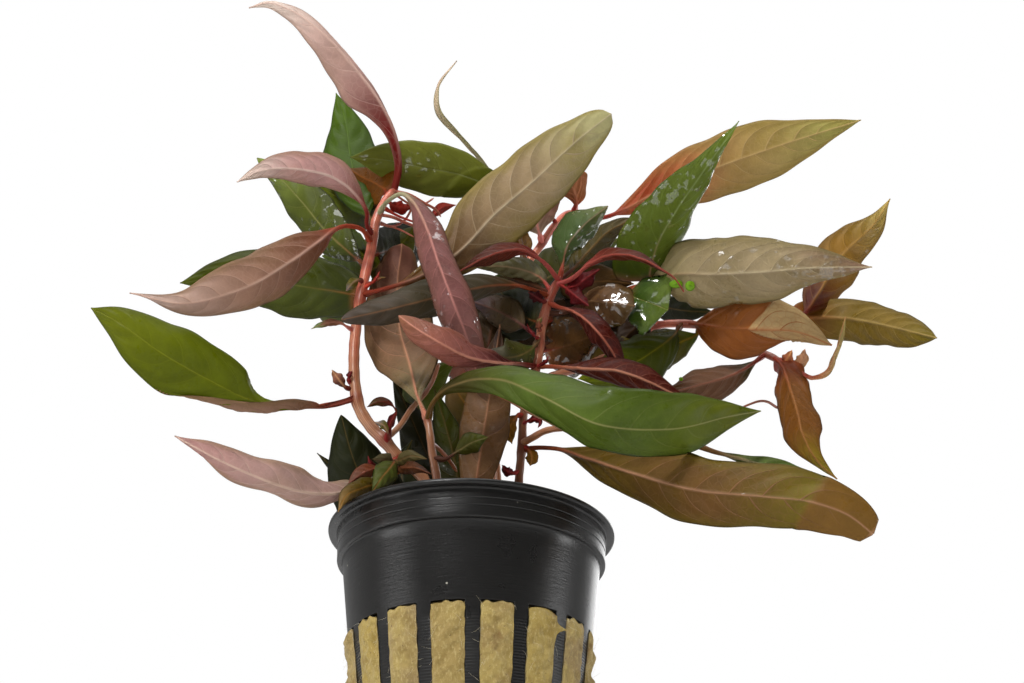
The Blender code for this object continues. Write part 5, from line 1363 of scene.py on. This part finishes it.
def build_leaf(name, leaf, skins, seed, **shape):
    """A blade and its stalk, with the finishes of both its sides."""
    points, faces, slots, uv, marks = leaf_points(leaf, seed, **shape)
    shows, hides = ("top", "under") if leaf["shows"] == "top" else ("under", "top")
    finishes = [leaf_skin(skins, leaf["front"], shows, leaf["wet"], leaf["tint"]),
                leaf_skin(skins, leaf["back"], hides)]
    return piece(f"{name}_blade", points, faces, finishes, slots, uv, marks)


def build_large_leaf(name, leaf, skins, seed):
    """A blade of LEAVES, which takes the place of its solid."""
    leaf = dict(back=LARGE_BACKS[leaf["shows"]], veins=7, wave=0.2) | leaf
    return build_leaf(name, leaf, skins, seed, along=104, across=15, thick=0.13, rib=0.3,
                      stalk_radius=0.56, quilt=0.3)


def build_small_leaf(name, leaf, skins, seed):
    """A blade of MORE_LEAVES, thinner and with fewer faces than the large ones."""
    leaf = dict(back=SMALL_BACKS[leaf["shows"]], veins=6, wave=0.15) | leaf
    size = leaf["wide"]
    return build_leaf(name, leaf, skins, seed, along=64, across=9, thick=min(0.12, 0.05 + 0.012 * size),
                      rib=min(0.22, 0.05 * size), stalk_radius=min(0.45, 0.16 + 0.06 * size),
                      quilt=min(0.2, 0.03 * size))


def build_stalks(flesh):
    """The bare stalks and side shoots, as one piece of round tubes that start in their stems' middles."""
    meshes = []
    for on, width, route in STALKS:
        begin = stem_lines[on][0][start_on(on, *route[0])]
        line = smooth_line([begin] + [place(*pick) for pick in route[1:]], 40)
        radii = np.linspace(*width, len(line)) / 2
        radii[-3:] *= (0.9, 0.65, 0.25)
        meshes.append(tube(line, radii, 10))
    points, faces = joined(meshes)
    marks = dict(knot=np.ones(len(points)), foot=np.zeros(len(points)))
    return piece("red_stalks", points, faces, [flesh], uv=np.full((len(points), 2), 0.5), marks=marks)


def build_discs(green):
    """Small round floating leaves that lie on two blades: flattened balls, just in front of the blade."""
    sides, rings = 18, 7
    turn = 2 * math.pi * np.arange(sides) / sides
    lean = np.linspace(0.12, math.pi - 0.12, rings)[:, None]
    meshes = []
    for below, across, down, wide, high in DISCS:
        under = bpy.data.objects[f"leaf_{below}_blade"].data
        spots = np.empty(3 * len(under.vertices))
        under.vertices.foreach_get("co", spots)
        spots = spots.reshape(-1, 3) / MM
        near = spots[np.linalg.norm(seen_at(spots) - (across, down), axis=1) < 6]
        centre = place(across, down, near[:, 1].min() - 0.1)
        x, y = wide * np.sin(lean) * np.cos(turn), high * np.sin(lean) * np.sin(turn)
        z = DISC_THICKNESS * np.cos(lean) + 0 * turn
        ball = centre + x[..., None] * VIEW_RIGHT + y[..., None] * VIEW_UP - z[..., None] * VIEW_FORWARD
        poles = centre + np.array(((-DISC_THICKNESS,), (DISC_THICKNESS,))) * VIEW_FORWARD
        meshes.append((np.concatenate((ball.reshape(-1, 3), poles)), closed_grid(rings, sides)))
    return piece("floating_discs", *joined(meshes), [green])


def hold(made, node=None):
    """Ties a piece to the pot's body, and puts it in place of its solid."""
    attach(made, "root")
    if node:
        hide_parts(node)


def stand(name, data, spot, axes):
    """A new object of the scene at a spot, in metres, its own axes along the columns of axes."""
    made = bpy.data.objects.new(name, data)
    bpy.context.scene.collection.objects.link(made)
    made.matrix_world = Matrix([[*row, at] for row, at in zip(axes.tolist(), spot)] + [[0, 0, 0, 1]])
    return made


def surround():
    """White to the camera, and as light a softer white that is brighter behind the plant."""
    world = bpy.data.worlds.new("white surround")
    world.use_nodes = True
    bpy.context.scene.world = world
    nodes = Nodes(world.node_tree)
    heading = nodes.add("SeparateXYZ", {0: nodes.add("TexCoord")["Generated"]})
    glow = nodes.line(nodes.eased(heading[1], -0.75, 0.5), SURROUND - FRONT, FRONT)
    seen = nodes.add("LightPath")["Is Camera Ray"]
    strength = nodes.maths("MAXIMUM", seen, glow)
    nodes.give(world.node_tree.nodes["Background"], {"Strength": strength, "Color": (1, 1, 1, 1)})


def lamps():
    """A key over the left shoulder, broad lamps at both sides, above, low in front and behind."""
    for name, (spot, target, size, power) in LAMPS.items():
        light = bpy.data.lights.new(name, "AREA")
        light.shape = "RECTANGLE"
        light.size, light.size_y = size
        light.energy = power
        back = unit(np.array(spot) - np.array(target))
        side = unit(np.cross((0, 0, 1), back))
        stand(name, light, spot, np.stack((side, np.cross(back, side), back), 1))


def floor():
    """A pale sheet under the pot, clear when it is seen from below."""
    sheet = bpy.data.meshes.new("floor")
    turns = ((-1, -1), (1, -1), (1, 1), (-1, 1))
    corners = [(FLOOR_REACH * x, FLOOR_REACH * y, FLOOR_HEIGHT) for x, y in turns]
    sheet.from_pydata(corners, [], [(0, 1, 2, 3)])
    laid = bpy.data.objects.new("floor", sheet)
    bpy.context.scene.collection.objects.link(laid)
    made, nodes, shader = finish("pale floor")
    paper = nodes.mix(nodes.noise(40.0), (0.86, 0.86, 0.86, 1), (0.9, 0.9, 0.9, 1))
    nodes.give(shader, {"Base Color": paper, "Roughness": 0.8})
    below = nodes.add("NewGeometry")["Backfacing"]
    both = nodes.add("MixShader", {0: below, 1: shader.outputs[0], 2: nodes.add("BsdfTransparent")[0]})[0]
    nodes.give(made.node_tree.nodes["Material Output"], {"Surface": both})
    sheet.materials.append(made)


def camera():
    """The photograph's view: from below the rim, looking up."""
    lens = bpy.data.cameras.new("front view")
    lens.sensor_width = SENSOR
    lens.lens = SENSOR * VIEW_FOCAL / VIEW_SIZE[0]
    lens.clip_start = 0.01
    axes = np.stack((VIEW_RIGHT, VIEW_UP, -VIEW_FORWARD), axis=1)
    bpy.context.scene.camera = stand("front view", lens, (VIEW_PLACE * MM).tolist(), axes)


def main():
    camera()
    for name, stem in STEMS.items():
        stem_lines[name] = stem_route(stem)
    hold(build_pot(pot_finish()), "net_pot")
    wool = wool_finish()
    hold(build_pads(wool), "mineral_wool")
    hold(build_plug(wool))
    pale = mottled_finish("pale mineral fibre", 300.0, rgb(214, 200, 160), rgb(236, 230, 208),
                          Roughness=0.5)
    hold(build_fibres(pale))
    flesh = stem_finish()
    for seed, (name, stem) in enumerate(STEMS.items()):
        hold(build_stem(name, stem, flesh, seed), f"stem_{name}")
    skins = leaf_skin_group()
    for seed, (name, leaf) in enumerate(LEAVES.items()):
        hold(build_large_leaf(f"leaf_{name}", leaf, skins, seed), f"leaf_{name}")
    for seed, (name, leaf) in enumerate(MORE_LEAVES.items(), 60):
        hold(build_small_leaf(name, leaf, skins, seed))
    hold(build_stalks(flesh))
    green = mottled_finish("bright green disc", 900.0, rgb(90, 130, 8), rgb(124, 172, 16), Roughness=0.4,
                           Specular_IOR_Level=0.3)
    hold(build_discs(green))
    bpy.context.scene.view_settings.view_transform = "Standard"
    surround()
    lamps()
    floor()


main()
